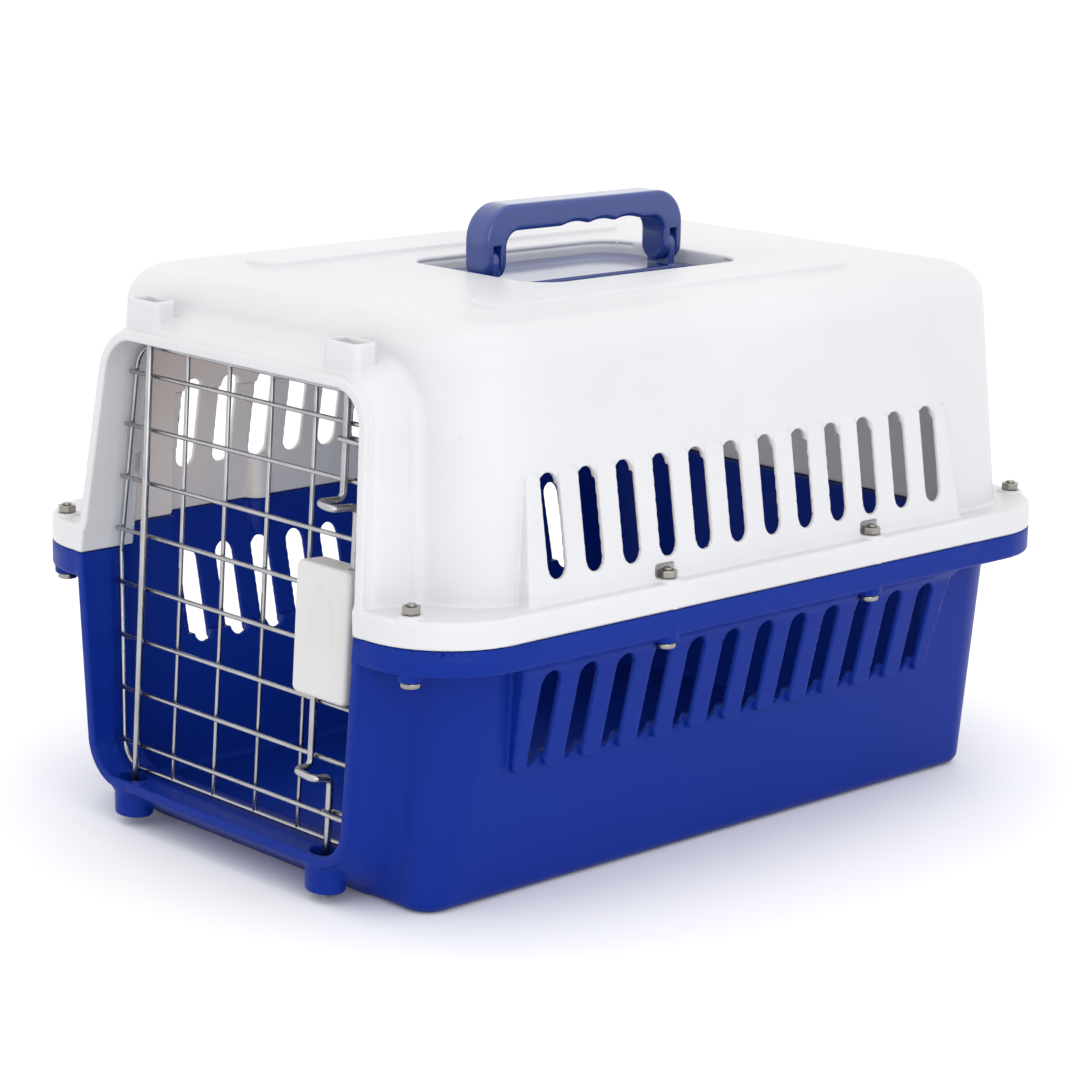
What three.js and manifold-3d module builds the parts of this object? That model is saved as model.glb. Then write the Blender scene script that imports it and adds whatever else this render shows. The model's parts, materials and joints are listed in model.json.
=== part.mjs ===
// Two-part plastic pet carrier with a hinged wire door, a sprung two-rod latch and a fold-down handle.
// Millimetres, +Z up. The origin is on the floor under the middle of the shell, and the door faces -Y.
import * as THREE from 'three';
import { mergeVertices } from 'three/addons/utils/BufferGeometryUtils.js';
import Module from 'manifold-3d';

const wasm = await Module();
wasm.setup();

// Flange where the two shells meet
const FLANGE = { width: 358, length: 490, radius: 52, skin: 3 };
const SEAM_Z = 148;
const SEAM_GAP = 0.3;
const LEDGE_TOP_Z = 162.5;
const LEDGE_BOTTOM_Z = 134;

// Each shell is a rounded box that tapers in a straight line between two heights
const WALL = 3;
const UPPER = {
  low: { z: SEAM_Z, half: 164, front: -213, back: 228 },
  high: { z: 300, half: 155, front: -204, back: 215 },
  radius: 45,
  fillet: 16,
};
const LOWER = {
  low: { z: 0, half: 140, front: -217, back: 214 },
  high: { z: SEAM_Z, half: 161, front: -219, back: 222 },
  radius: 36,
  fillet: 8,
};

// Door surround: the outline of its opening, and how far the surround stands outside it
const MOUTH = { topZ: 268, bottomZ: 26, seamHalf: 115.5, topHalf: 105, bottomHalf: 105, radius: 18 };
const SURROUND = { rim: 5, frontY: -245, backY: -204, flare: 8, lean: 0.1 };

// Vent slots
const SLOT = { count: 12, pitch: 26.5, firstY: -155, width: 12.4 };
const UPPER_SLOT = { top: 227, bottom: 174 };
const LOWER_SLOT = { top: 126, bottom: 73 };

// Ribbed panels that carry the slots: each runs from its free end to the seam and widens on the way
const PANEL = { reach: 161.3, draft: 0.09, shoulder: 4.4, skin: 3, depth: 30, endSkin: 8 };
const UPPER_PANEL = { endZ: 228.5, seamZ: LEDGE_TOP_Z - 1, endX: 160.4, seamX: 171.4 };
const LOWER_PANEL = { endZ: 70.5, seamZ: SEAM_Z, endX: 154.2, seamX: 172 };
const NUT_NOTCH = { radius: 6.4, topZ: 170.5, wall: 9 };

// Roof
const RAIL = { x: 93, width: 30, front: -143, back: 133, height: 2.5 };
const RECESS = { half: 56, front: -66, back: 97, radius: 20, floorZ: 286, skin: 3 };

// Handle
const HANDLE = { front: -61.5, back: 91.5, topZ: 338, thick: 19, legWidth: 15.5, gripHeight: 15, radius: 20 };
const SCALLOP = { centres: [6.75, 27.25, 47.5], radius: 30, depth: 1.8 };
const BASE = { gap: 0.4, deckZ: 293.8, skin: 2.6, floorZ: 288.6 };
const POCKET = { left: 9.5, right: 50, front: -55, back: 88, radius: 8 };
const PIVOT = { z: 305.8, lugWidth: 5, gap: 0.45, postHalf: 9.1, pinRadius: 2.5, clearance: 0.35, skin: 1.2 };

// Screws and nuts, front pair, four at the sides and back pair
const SCREW_SPOTS = [
  [146, -233], [-146, -233], [172, -80], [-172, -80], [172, 80], [-172, 80], [146, 234], [-146, 234],
];
const SCREW = {
  radius: 2.5, topZ: 169.5, headRadius: 5.5, headTop: 129.7, headBottom: 126.5, headFlat: 3.3, headCrown: 1.4,
};
const NUT = { acrossFlats: 9, height: 4 };
const BOSS = { radius: 7, topZ: 164, bottomZ: 130, column: 5, hole: 2.9, pocketZ: 120, headRoom: 0.8 };
// Heights that no screw reaches, and a distance past the whole carrier, for cutters
const SCREW_RUN = { low: 100, high: 200 };
const BEYOND = 300;

// Door, in its own leaning frame: x across, y behind the rods, z up the lean
const DOOR_FOOT_Y = -235.25;
const DOOR_LEAN = 0.0527;
const ROD = { radius: 2, hingeX: -83, latchX: 83, bottomZ: 1.5, topZ: 277.5, slotHalf: 2.6, bend: 2.6, loopRise: 2.5 };
const WIRE = { radius: 1.2, sides: 7, gap: 0.3 };
const CROSSBAR = { count: 8, lowZ: 42.8, pitch: 29.4, clear: 2.4, y: 3.5 };
const PERIMETER = { clear: 4.4, bottomZ: 29, topZ: 263.8, radius: 14, y: 6.2 };
const UPRIGHT = { count: 4, pitch: 36, middleX: -2.8 };

// Latch body on the door
const LATCH = { left: 57.5, right: 100.3, bottomZ: 106, topZ: 176, front: -8, back: 8, wall: 3.5, radius: 4 };
const SHELF = { low: 148, high: 150 };
const DIMPLE = { half: 9, depth: 3, reach: 22 };
const CLIP = { middles: [113, 167], half: 3, front: 2 };
const UPPER_ROD = { innerX: 94, armZ: 168, loopZ: 209, reach: 17, travel: 10.5 };
const LOWER_ROD = { innerX: 67, armZ: 114, loopZ: 66, reach: 11, travel: 26.5 };
const SPRING = { x: 80.5, radius: 3.6, wire: 0.6, turns: 4, stepsPerTurn: 9, sides: 5, gap: 0.3 };
const EYE = { upperZ: 241, lowerZ: 46, inner: 2.4 };

// Sockets that take the ends of the rods
const SOCKET = { width: 27, depth: 15, topZ: 290.5, floorZ: 279.5, wall: 2.5, rodHole: 2.5 };
const CUP = { radius: 12, inner: 9, bottomZ: 5, floorZ: 8.5, squash: 0.8 };

const PAINT = {
  white: { color: 0xeceef2, roughness: 0.38, metalness: 0 },
  blue: { color: 0x1d3490, roughness: 0.36, metalness: 0 },
  handle: { color: 0x3c4ba2, roughness: 0.3, metalness: 0 },
  latch: { color: 0xe4e4e8, roughness: 0.4, metalness: 0 },
  steel: { color: 0xb9bac0, roughness: 0.28, metalness: 1 },
  zinc: { color: 0xb8b39a, roughness: 0.35, metalness: 1 },
};

// ---- solids --------------------------------------------------------------------------------

function solid(geometry) {
  const bare = geometry.clone();
  bare.deleteAttribute('normal');
  bare.deleteAttribute('uv');
  const merged = mergeVertices(bare, 1e-4);
  const vertProperties = new Float32Array(merged.attributes.position.array);
  const triVerts = new Uint32Array(merged.index.array);
  return new wasm.Manifold(new wasm.Mesh({ numProp: 3, vertProperties, triVerts }));
}

function geometryOf(body) {
  const mesh = body.getMesh();
  const geometry = new THREE.BufferGeometry();
  geometry.setAttribute('position', new THREE.BufferAttribute(new Float32Array(mesh.vertProperties), 3));
  geometry.setIndex(new THREE.BufferAttribute(new Uint32Array(mesh.triVerts), 1));
  geometry.computeVertexNormals();
  return geometry;
}

function part(name, shape, paint) {
  const geometry = shape.isBufferGeometry ? shape : geometryOf(shape);
  const mesh = new THREE.Mesh(geometry, new THREE.MeshStandardMaterial(PAINT[paint]));
  mesh.name = name;
  return mesh;
}

const joinAll = (bodies) => bodies.reduce((whole, body) => whole.add(body));
const cutAll = (body, cutters) => cutters.reduce((rest, cutter) => rest.subtract(cutter), body);

// ---- outlines and extrusions ---------------------------------------------------------------

const stepsRound = (radius) => Math.max(2, Math.round(1.1 * Math.sqrt(radius)));

// The points of a corner rounded by a radius, given the points before and after it
function roundCorner(before, corner, after, radius) {
  if (radius === 0) return [corner];
  const arrive = before.clone().sub(corner).normalize();
  const leave = after.clone().sub(corner).normalize();
  const halfAngle = Math.acos(THREE.MathUtils.clamp(arrive.dot(leave), -1, 1)) / 2;
  const inward = arrive.clone().add(leave).normalize();
  const centre = corner.clone().addScaledVector(inward, radius / Math.sin(halfAngle));
  const start = corner.clone().addScaledVector(arrive, radius / Math.tan(halfAngle)).sub(centre);
  const sweep = (Math.PI - 2 * halfAngle) * Math.sign(leave.cross(arrive));
  const steps = stepsRound(radius);
  return Array.from({ length: steps + 1 }, (_, k) => (
    start.clone().rotateAround(new THREE.Vector2(), (sweep * k) / steps).add(centre)));
}

// A closed outline through corner points, each with its own radius
function roundedOutline(corners) {
  const points = corners.map(([x, y]) => new THREE.Vector2(x, y));
  const count = points.length;
  return new THREE.Shape(points.flatMap((point, i) => (
    roundCorner(points[(i + count - 1) % count], point, points[(i + 1) % count], corners[i][2]))));
}

function rectangle(left, right, low, high, radius) {
  return roundedOutline([[right, low, radius], [right, high, radius], [left, high, radius], [left, low, radius]]);
}

const AXES = {
  x: new THREE.Matrix4().makeBasis(new THREE.Vector3(0, 1, 0), new THREE.Vector3(0, 0, 1), new THREE.Vector3(1, 0, 0)),
  y: new THREE.Matrix4().makeBasis(new THREE.Vector3(1, 0, 0), new THREE.Vector3(0, 0, 1), new THREE.Vector3(0, -1, 0)),
  z: new THREE.Matrix4(),
};

// Extrudes along an axis between two stations; along x the outline is (y, z) and along y it is (x, z)
function extrude(axis, outline, from, to, options = {}) {
  const geometry = new THREE.ExtrudeGeometry(outline, {
    depth: to - from, bevelEnabled: false, steps: 1, curveSegments: 3, ...options,
  });
  geometry.translate(0, 0, axis === 'y' ? -to : from);
  return geometry.applyMatrix4(AXES[axis]);
}

function upright(radius, x, y, low, high, sides = 16) {
  const geometry = new THREE.CylinderGeometry(radius, radius, high - low, sides);
  return geometry.rotateX(Math.PI / 2).translate(x, y, (low + high) / 2);
}

function warp(geometry, move) {
  const position = geometry.attributes.position;
  const point = new THREE.Vector3();
  for (let i = 0; i < position.count; i += 1) {
    move(point.fromBufferAttribute(position, i));
    position.setXYZ(i, point.x, point.y, point.z);
  }
  return geometry;
}

// ---- tubes along bent wires ----------------------------------------------------------------

// A wire through corner points with round bends; its stations lie only where the wire bends
class BentWire extends THREE.Curve {
  constructor(corners, bend, stepsPerBend) {
    super();
    const points = corners.map((corner) => new THREE.Vector3(...corner));
    this.stations = [points[0]];
    for (let i = 1; i < points.length - 1; i += 1) {
      const arrive = points[i - 1].clone().sub(points[i]).normalize();
      const leave = points[i + 1].clone().sub(points[i]).normalize();
      const halfAngle = Math.acos(THREE.MathUtils.clamp(arrive.dot(leave), -1, 1)) / 2;
      const middle = arrive.clone().add(leave).normalize();
      const centre = points[i].clone().addScaledVector(middle, bend / Math.sin(halfAngle));
      const start = points[i].clone().addScaledVector(arrive, bend / Math.tan(halfAngle)).sub(centre);
      const end = points[i].clone().addScaledVector(leave, bend / Math.tan(halfAngle)).sub(centre);
      const turn = Math.PI - 2 * halfAngle;
      const hinge = new THREE.Vector3().crossVectors(start, end).normalize();
      for (let k = 0; k <= stepsPerBend; k += 1) {
        this.stations.push(start.clone().applyAxisAngle(hinge, (turn * k) / stepsPerBend).add(centre));
      }
    }
    this.stations.push(points[points.length - 1]);
  }

  getPoint(t, target = new THREE.Vector3()) {
    const place = t * (this.stations.length - 1);
    const index = Math.min(Math.floor(place), this.stations.length - 2);
    return target.lerpVectors(this.stations[index], this.stations[index + 1], place - index);
  }

  getPointAt(u, target) {
    return this.getPoint(u, target);
  }

  getTangentAt(u, target = new THREE.Vector3()) {
    const last = this.stations.length - 1;
    const index = Math.round(u * last);
    const ahead = this.stations[Math.min(index + 1, last)];
    return target.copy(ahead).sub(this.stations[Math.max(index - 1, 0)]).normalize();
  }
}

function circle(radius, sides) {
  const corners = [];
  for (let i = 0; i < sides; i += 1) {
    const angle = (2 * Math.PI * i) / sides;
    corners.push(new THREE.Vector2(radius * Math.cos(angle), radius * Math.sin(angle)));
  }
  return new THREE.Shape(corners);
}

function bentTube(corners, bend, radius, sides, stepsPerBend = 4) {
  const wire = new BentWire(corners, bend, stepsPerBend);
  return new THREE.ExtrudeGeometry(circle(radius, sides), {
    extrudePath: wire, steps: wire.stations.length - 1, bevelEnabled: false,
  });
}

class Helix extends THREE.Curve {
  constructor(radius, low, high, turns) {
    super();
    Object.assign(this, { radius, low, high, turns });
  }

  getPoint(t, target = new THREE.Vector3()) {
    const angle = 2 * Math.PI * this.turns * t;
    const height = this.low + (this.high - this.low) * t;
    return target.set(this.radius * Math.cos(angle), this.radius * Math.sin(angle), height);
  }
}

// ---- shared shell pieces -------------------------------------------------------------------

// The tapered body of a shell, offset inwards by inset, between its low and high stations
function shellBody({ low, high, radius, fillet }, inset, extraLow, extraHigh) {
  const length = low.back - low.front - 2 * inset;
  const half = low.half - inset;
  const outline = rectangle(-half, half, 0, length, radius - inset);
  const bottom = low.z - extraLow;
  const top = high.z + extraHigh;
  const bevel = fillet - inset / 2;
  const geometry = new THREE.ExtrudeGeometry(outline, {
    depth: top - bottom - 2 * bevel, steps: 1, curveSegments: 3,
    bevelEnabled: true, bevelThickness: bevel, bevelSize: bevel, bevelOffset: -bevel, bevelSegments: 4,
  });
  geometry.translate(0, 0, bottom + bevel);
  return solid(warp(geometry, (p) => {
    const t = (p.z - low.z) / (high.z - low.z);
    const front = THREE.MathUtils.lerp(low.front, high.front, t) + inset;
    const back = THREE.MathUtils.lerp(low.back, high.back, t) - inset;
    p.x *= (THREE.MathUtils.lerp(low.half, high.half, t) - inset) / half;
    p.y = front + (p.y / length) * (back - front);
  }));
}

function flangeSlab(inset, low, high) {
  const half = FLANGE.width / 2 - inset;
  const reach = FLANGE.length / 2 - inset;
  return solid(extrude('z', rectangle(-half, half, -reach, reach, FLANGE.radius - inset), low, high));
}

// The door mouth's outline above or below the seam, grown outwards by grow
function mouthOutline(side, grow, seam) {
  const farHalf = side > 0 ? MOUTH.topHalf : MOUTH.bottomHalf;
  const farZ = side > 0 ? MOUTH.topZ : MOUTH.bottomZ;
  const wide = MOUTH.seamHalf + grow;
  const far = farHalf + grow;
  const z = farZ + side * grow;
  const radius = MOUTH.radius + grow;
  const corners = [[wide, seam, 0], [far, z, radius], [-far, z, radius], [-wide, seam, 0]];
  return roundedOutline(side > 0 ? corners : corners.reverse());
}

function lean(p) {
  p.y += Math.max(0, p.z - SEAM_Z) * SURROUND.lean;
}

// The surround flares as it runs back from its rim into the body
function surround(side) {
  const depth = SURROUND.backY - SURROUND.frontY;
  const outline = mouthOutline(side, SURROUND.rim, SEAM_Z);
  const geometry = extrude('y', outline, SURROUND.frontY, SURROUND.backY, { steps: 3 });
  const height = MOUTH.topZ - SEAM_Z;
  return solid(warp(geometry, (p) => {
    const run = (p.y - SURROUND.frontY) / depth;
    const flare = SURROUND.flare * run ** 2;
    p.x *= 1 + flare / MOUTH.seamHalf;
    p.z += (flare * (p.z - SEAM_Z)) / height;
    lean(p);
  }));
}

// The mouth runs on past the seam, so that one cutter opens the whole surround of a shell
function mouthCutter(side) {
  const outline = mouthOutline(side, 0, SEAM_Z);
  const geometry = extrude('y', outline, SURROUND.frontY - 30, SURROUND.frontY + 60);
  const sill = rectangle(-MOUTH.seamHalf, MOUTH.seamHalf, SEAM_Z - 1, SEAM_Z + 1, 0);
  return solid(warp(geometry, lean)).add(solid(extrude('y', sill, SURROUND.frontY - 30, SURROUND.frontY + 60)));
}

// The left side carries the right side's slots and ribs, turned half round
function bothSides(right) {
  return [solid(right), solid(right.clone().rotateZ(Math.PI))];
}

function slotCutters({ top, bottom }) {
  const half = SLOT.width / 2;
  return Array.from({ length: SLOT.count }, (_, i) => {
    const y = SLOT.firstY + i * SLOT.pitch;
    const outline = rectangle(y - half, y + half, bottom, top, half - 0.01);
    return bothSides(extrude('x', outline, LOWER.low.half - PANEL.depth, FLANGE.width / 2 + 10));
  }).flat();
}

// Ribs with round free ends stand between the slots, on one band beside the seam
function ribOutline({ endZ, seamZ }, bandZ) {
  const half = (SLOT.pitch - SLOT.width) / 2;
  const middle = SLOT.firstY + (SLOT.pitch * (SLOT.count - 1)) / 2;
  const wide = PANEL.reach + PANEL.draft * Math.abs(endZ - seamZ);
  const corners = [[middle - wide, seamZ, 0], [middle + wide, seamZ, 0]];
  for (let i = SLOT.count; i >= 0; i -= 1) {
    const y = SLOT.firstY + (i - 0.5) * SLOT.pitch;
    const right = i === SLOT.count ? middle + PANEL.reach : y + half;
    const left = i === 0 ? middle - PANEL.reach : y - half;
    if (i < SLOT.count) corners.push([right, bandZ, 0]);
    corners.push([right, endZ, PANEL.shoulder], [left, endZ, PANEL.shoulder]);
    if (i > 0) corners.push([left, bandZ, 0]);
  }
  return roundedOutline(corners);
}

// The hollow behind a panel, short of its edges and its free end
function hollowOutline({ endZ, seamZ }, pastSeam) {
  const middle = SLOT.firstY + (SLOT.pitch * (SLOT.count - 1)) / 2;
  const half = PANEL.reach - PANEL.skin;
  const stop = endZ + Math.sign(seamZ - endZ) * PANEL.endSkin;
  return rectangle(middle - half, middle + half, Math.min(stop, pastSeam), Math.max(stop, pastSeam), 0);
}

// Both panels of a shell, between two offsets from their sloping faces
function panels({ endZ, seamZ, endX, seamX }, outline, inner, outer) {
  const slope = (seamX - endX) / (seamZ - endZ);
  return bothSides(warp(extrude('x', outline, -1, 1), (p) => {
    const face = endX + (p.z - endZ) * slope;
    p.x = face + (p.x > 0 ? outer : inner);
  }));
}

function screwSpots(make) {
  return SCREW_SPOTS.map(([x, y]) => solid(make(x, y)));
}

function screwColumns(radius, sides = 16) {
  return screwSpots((x, y) => upright(radius, x, y, SCREW_RUN.low, SCREW_RUN.high, sides));
}

// Everything between two heights
function layer(low, high) {
  return solid(extrude('z', rectangle(-BEYOND, BEYOND, -BEYOND, BEYOND, 0), low, high));
}

// ---- upper shell ---------------------------------------------------------------------------

function rails() {
  return [1, -1].map((side) => {
    const outline = rectangle(side * RAIL.x - RAIL.width / 2, side * RAIL.x + RAIL.width / 2,
      RAIL.front, RAIL.back, RAIL.width / 2 - 1);
    return solid(extrude('z', outline, UPPER.high.z - WALL / 2, UPPER.high.z + RAIL.height));
  });
}

function recessSlab(grow, low, high) {
  const outline = rectangle(-RECESS.half - grow, RECESS.half + grow, RECESS.front - grow, RECESS.back + grow,
    RECESS.radius + grow);
  return solid(extrude('z', outline, low, high));
}

const rodY = (z) => DOOR_FOOT_Y + z * DOOR_LEAN;

function leaningRod(radius, x, low, high) {
  const rod = upright(radius, 0, 0, low, high, 16);
  return solid(warp(rod, (p) => {
    p.x += x;
    p.y += rodY(p.z);
  }));
}

function topSockets() {
  const y = rodY(SOCKET.topZ);
  return [ROD.hingeX, ROD.latchX].map((x) => solid(extrude('z',
    rectangle(x - SOCKET.width / 2, x + SOCKET.width / 2, y - SOCKET.depth / 2, y + SOCKET.depth / 2, 3),
    MOUTH.topZ + 2, SOCKET.topZ)));
}

function topSocketCutters() {
  const y = rodY(SOCKET.topZ);
  const halfWidth = SOCKET.width / 2 - SOCKET.wall;
  const halfDepth = SOCKET.depth / 2 - SOCKET.wall;
  return [ROD.hingeX, ROD.latchX].flatMap((x) => [
    solid(extrude('z', rectangle(x - halfWidth, x + halfWidth, y - halfDepth, y + halfDepth, 1.5),
      SOCKET.floorZ, SOCKET.topZ + 5)),
    leaningRod(SOCKET.rodHole, x, MOUTH.topZ - 10, SOCKET.topZ),
  ]);
}

function upperShell() {
  const outer = shellBody(UPPER, 0, UPPER.fillet + 1, 0);
  const frame = surround(1);
  const below = layer(0, SEAM_Z + SEAM_GAP / 2);
  const keep = joinAll([outer, frame, ...screwColumns(BOSS.column)]);
  const channel = flangeSlab(FLANGE.skin, SEAM_Z - 5, LEDGE_TOP_Z - FLANGE.skin).subtract(keep);
  const notches = screwSpots((x, y) => upright(NUT_NOTCH.radius, x, y, LEDGE_TOP_Z - 2, NUT_NOTCH.topZ));
  const ribs = panels(UPPER_PANEL, ribOutline(UPPER_PANEL, UPPER_SLOT.bottom + SLOT.width / 2), -PANEL.depth, 0)
    .map((panel) => cutAll(panel, notches));
  const hollows = panels(UPPER_PANEL, hollowOutline(UPPER_PANEL, SEAM_Z - 5), -PANEL.depth, -PANEL.skin)
    .map((hollow) => cutAll(hollow, screwColumns(NUT_NOTCH.wall)));
  const skin = joinAll([
    outer, frame, flangeSlab(0, SEAM_Z, LEDGE_TOP_Z).subtract(channel), ...ribs, ...rails(), ...topSockets(),
    ...screwSpots((x, y) => upright(BOSS.radius, x, y, LEDGE_TOP_Z - FLANGE.skin, BOSS.topZ)),
  ]);
  const hollow = cutAll(skin, [
    shellBody(UPPER, WALL, UPPER.fillet + 1, -WALL), below, mouthCutter(1), ...hollows, ...slotCutters(UPPER_SLOT),
    ...topSocketCutters(), ...screwColumns(BOSS.hole, 12),
  ]);
  const tray = recessSlab(RECESS.skin, RECESS.floorZ - RECESS.skin, UPPER.high.z - WALL / 2);
  return hollow.add(tray).subtract(recessSlab(0, RECESS.floorZ, UPPER.high.z + 10));
}

// ---- lower tub -----------------------------------------------------------------------------

function cup(radius, x, low, high) {
  return upright(radius, 0, 0, low, high, 20).scale(1, CUP.squash, 1).translate(x, rodY(CUP.bottomZ), 0);
}

function bottomCups() {
  return [ROD.hingeX, ROD.latchX].map((x) => (
    solid(cup(CUP.radius, x, CUP.bottomZ, MOUTH.bottomZ - 2))));
}

function bottomCupCutters() {
  return [ROD.hingeX, ROD.latchX].flatMap((x) => [
    solid(cup(CUP.inner, x, CUP.floorZ, MOUTH.bottomZ + 2)),
    leaningRod(SOCKET.rodHole, x, -5, MOUTH.bottomZ),
  ]);
}

function lowerTub() {
  const outer = shellBody(LOWER, 0, 0, LOWER.fillet + 1);
  const frame = surround(-1);
  const columns = screwSpots((x, y) => upright(BOSS.column, x, y, BOSS.bottomZ, SEAM_Z));
  const above = layer(SEAM_Z - SEAM_GAP / 2, BEYOND);
  const ribs = panels(LOWER_PANEL, ribOutline(LOWER_PANEL, LOWER_SLOT.top - SLOT.width / 2), -PANEL.depth, 0);
  const channel = cutAll(flangeSlab(FLANGE.skin, LEDGE_BOTTOM_Z + FLANGE.skin, SEAM_Z + 5),
    [outer, frame, ...columns, ...ribs]);
  const flange = flangeSlab(0, LEDGE_BOTTOM_Z, SEAM_Z).subtract(channel);
  const bosses = screwSpots((x, y) => upright(BOSS.radius, x, y, BOSS.bottomZ, LEDGE_BOTTOM_Z + FLANGE.skin));
  const skin = joinAll([outer, frame, flange, ...bottomCups(), ...bosses, ...ribs]);
  const headPockets = SCREW_SPOTS.filter(([x]) => Math.abs(x) > SCREW_SPOTS[0][0])
    .map(([x, y]) => solid(upright(SCREW.headRadius + BOSS.headRoom, x, y, BOSS.pocketZ, BOSS.bottomZ)));
  const hollows = panels(LOWER_PANEL, hollowOutline(LOWER_PANEL, SEAM_Z + 5), -PANEL.depth, -PANEL.skin)
    .map((hollow) => cutAll(hollow, screwColumns(NUT_NOTCH.wall)));
  return cutAll(skin, [
    shellBody(LOWER, WALL, -WALL, LOWER.fillet + 1), above, mouthCutter(-1), ...hollows,
    ...slotCutters(LOWER_SLOT), ...bottomCupCutters(), ...headPockets,
    ...screwColumns(BOSS.hole, 12),
  ]);
}

// ---- fasteners -----------------------------------------------------------------------------

function screw() {
  const { radius, topZ, headRadius, headTop, headBottom, headFlat, headCrown } = SCREW;
  const profile = [
    [0, headBottom], [headFlat, headBottom], [headRadius, headBottom + headCrown], [headRadius, headTop],
    [radius, headTop], [radius, topZ], [0, topZ],
  ].map(([r, z]) => new THREE.Vector2(r, z));
  return new THREE.LatheGeometry(profile, 12).rotateX(Math.PI / 2);
}

function nut() {
  const radius = NUT.acrossFlats / Math.sqrt(3);
  const low = BOSS.topZ + SEAM_GAP;
  const ring = circle(radius, 6);
  ring.holes.push(circle(SCREW.radius + 0.3, 12));
  return extrude('z', ring, low, low + NUT.height);
}

function fasteners() {
  return SCREW_SPOTS.flatMap(([x, y], i) => {
    const bolt = part(`screw_${i + 1}`, screw(), 'zinc');
    const hex = part(`nut_${i + 1}`, nut(), 'zinc');
    bolt.position.set(x, y, 0);
    hex.position.set(x, y, 0);
    hex.rotation.z = Math.PI / 6;
    return [bolt, hex];
  });
}

// ---- door ----------------------------------------------------------------------------------

function mouthHalf(z) {
  const taper = (MOUTH.seamHalf - MOUTH.topHalf) / (MOUTH.topZ - SEAM_Z);
  return MOUTH.seamHalf - taper * Math.abs(z - SEAM_Z);
}

function crossbar(z) {
  const reach = mouthHalf(z) - CROSSBAR.clear;
  const crossesLatch = z > LATCH.bottomZ && z < LATCH.topZ;
  const right = crossesLatch ? LATCH.left - WIRE.gap : reach;
  const bar = new THREE.CylinderGeometry(WIRE.radius, WIRE.radius, right + reach, WIRE.sides).rotateZ(Math.PI / 2);
  return bar.translate((right - reach) / 2, CROSSBAR.y, z);
}

// The outer wire bows out at the seam, as the mouth does
function perimeter() {
  const { bottomZ, topZ, y, radius } = PERIMETER;
  const joint = WIRE.gap / 2;
  const [foot, waist, head] = [bottomZ, SEAM_Z, topZ].map((z) => mouthHalf(z) - PERIMETER.clear);
  return bentTube([
    [joint, y, bottomZ], [foot, y, bottomZ], [waist, y, SEAM_Z], [head, y, topZ], [-head, y, topZ],
    [-waist, y, SEAM_Z], [-foot, y, bottomZ], [-joint, y, bottomZ],
  ], radius, WIRE.radius, WIRE.sides, 5);
}

function doorGrid() {
  const bars = Array.from({ length: CROSSBAR.count }, (_, i) => (
    part(`door_crossbar_${i + 1}`, crossbar(CROSSBAR.lowZ + i * CROSSBAR.pitch), 'steel')));
  const inset = WIRE.radius + WIRE.gap;
  const uprights = Array.from({ length: UPRIGHT.count }, (_, i) => {
    const x = UPRIGHT.middleX + (i - (UPRIGHT.count - 1) / 2) * UPRIGHT.pitch;
    const shape = upright(WIRE.radius, x, PERIMETER.y, PERIMETER.bottomZ + inset, PERIMETER.topZ - inset, WIRE.sides);
    return part(`door_upright_${i + 1}`, shape, 'steel');
  });
  return [...bars, ...uprights, part('door_perimeter', perimeter(), 'steel')];
}

function guideEye(name, z) {
  const ring = new THREE.TorusGeometry(EYE.inner + WIRE.radius, WIRE.radius, 6, 14).translate(ROD.latchX, 0, z);
  return part(name, ring, 'steel');
}

function latchHousing() {
  const { left, right, bottomZ, topZ, front, back, wall, radius } = LATCH;
  const cover = back - wall / 2;
  const block = solid(extrude('y', rectangle(left, right, bottomZ, topZ, radius), front, cover - WIRE.gap));
  const room = solid(extrude('y', rectangle(left + wall, right - wall / 2 - 0.5, bottomZ + wall, topZ - wall, 2),
    front + wall, back));
  const shelf = solid(extrude('y', rectangle(left + 1, right - 1, SHELF.low, SHELF.high, 0), front + 1, cover - 1));
  const rodHoles = [
    upright(SOCKET.rodHole, UPPER_ROD.innerX, 0, UPPER_ROD.armZ, topZ + 5),
    upright(SOCKET.rodHole, LOWER_ROD.innerX, 0, bottomZ - 5, LOWER_ROD.armZ),
  ].map(solid);
  const dimple = new THREE.SphereGeometry(1, 16, 8).scale(DIMPLE.half, DIMPLE.depth, DIMPLE.reach)
    .translate((left + right) / 2, front, (bottomZ + topZ) / 2);
  const rodSlot = solid(extrude('z', rectangle(
    UPPER_ROD.innerX - ROD.slotHalf, UPPER_ROD.innerX + ROD.slotHalf, -ROD.slotHalf, ROD.slotHalf, 1),
    UPPER_ROD.armZ - UPPER_ROD.travel - 4, UPPER_ROD.armZ + 2));
  const clips = CLIP.middles.map((z) => {
    const farEnd = SEAM_Z + Math.abs(z - SEAM_Z) + CLIP.half;
    const end = mouthHalf(farEnd) - PERIMETER.clear - WIRE.radius - WIRE.gap;
    const outline = rectangle(right - 1, end, z - CLIP.half, z + CLIP.half, 0);
    return solid(extrude('y', outline, CLIP.front, cover - WIRE.gap));
  });
  return cutAll(joinAll([block.subtract(room), shelf, ...clips]), [...rodHoles, solid(dimple), rodSlot]);
}

function latchCover() {
  const { left, right, bottomZ, topZ, back, wall, radius } = LATCH;
  return extrude('y', rectangle(left, right, bottomZ, topZ, radius), back - wall / 2, back);
}

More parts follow.
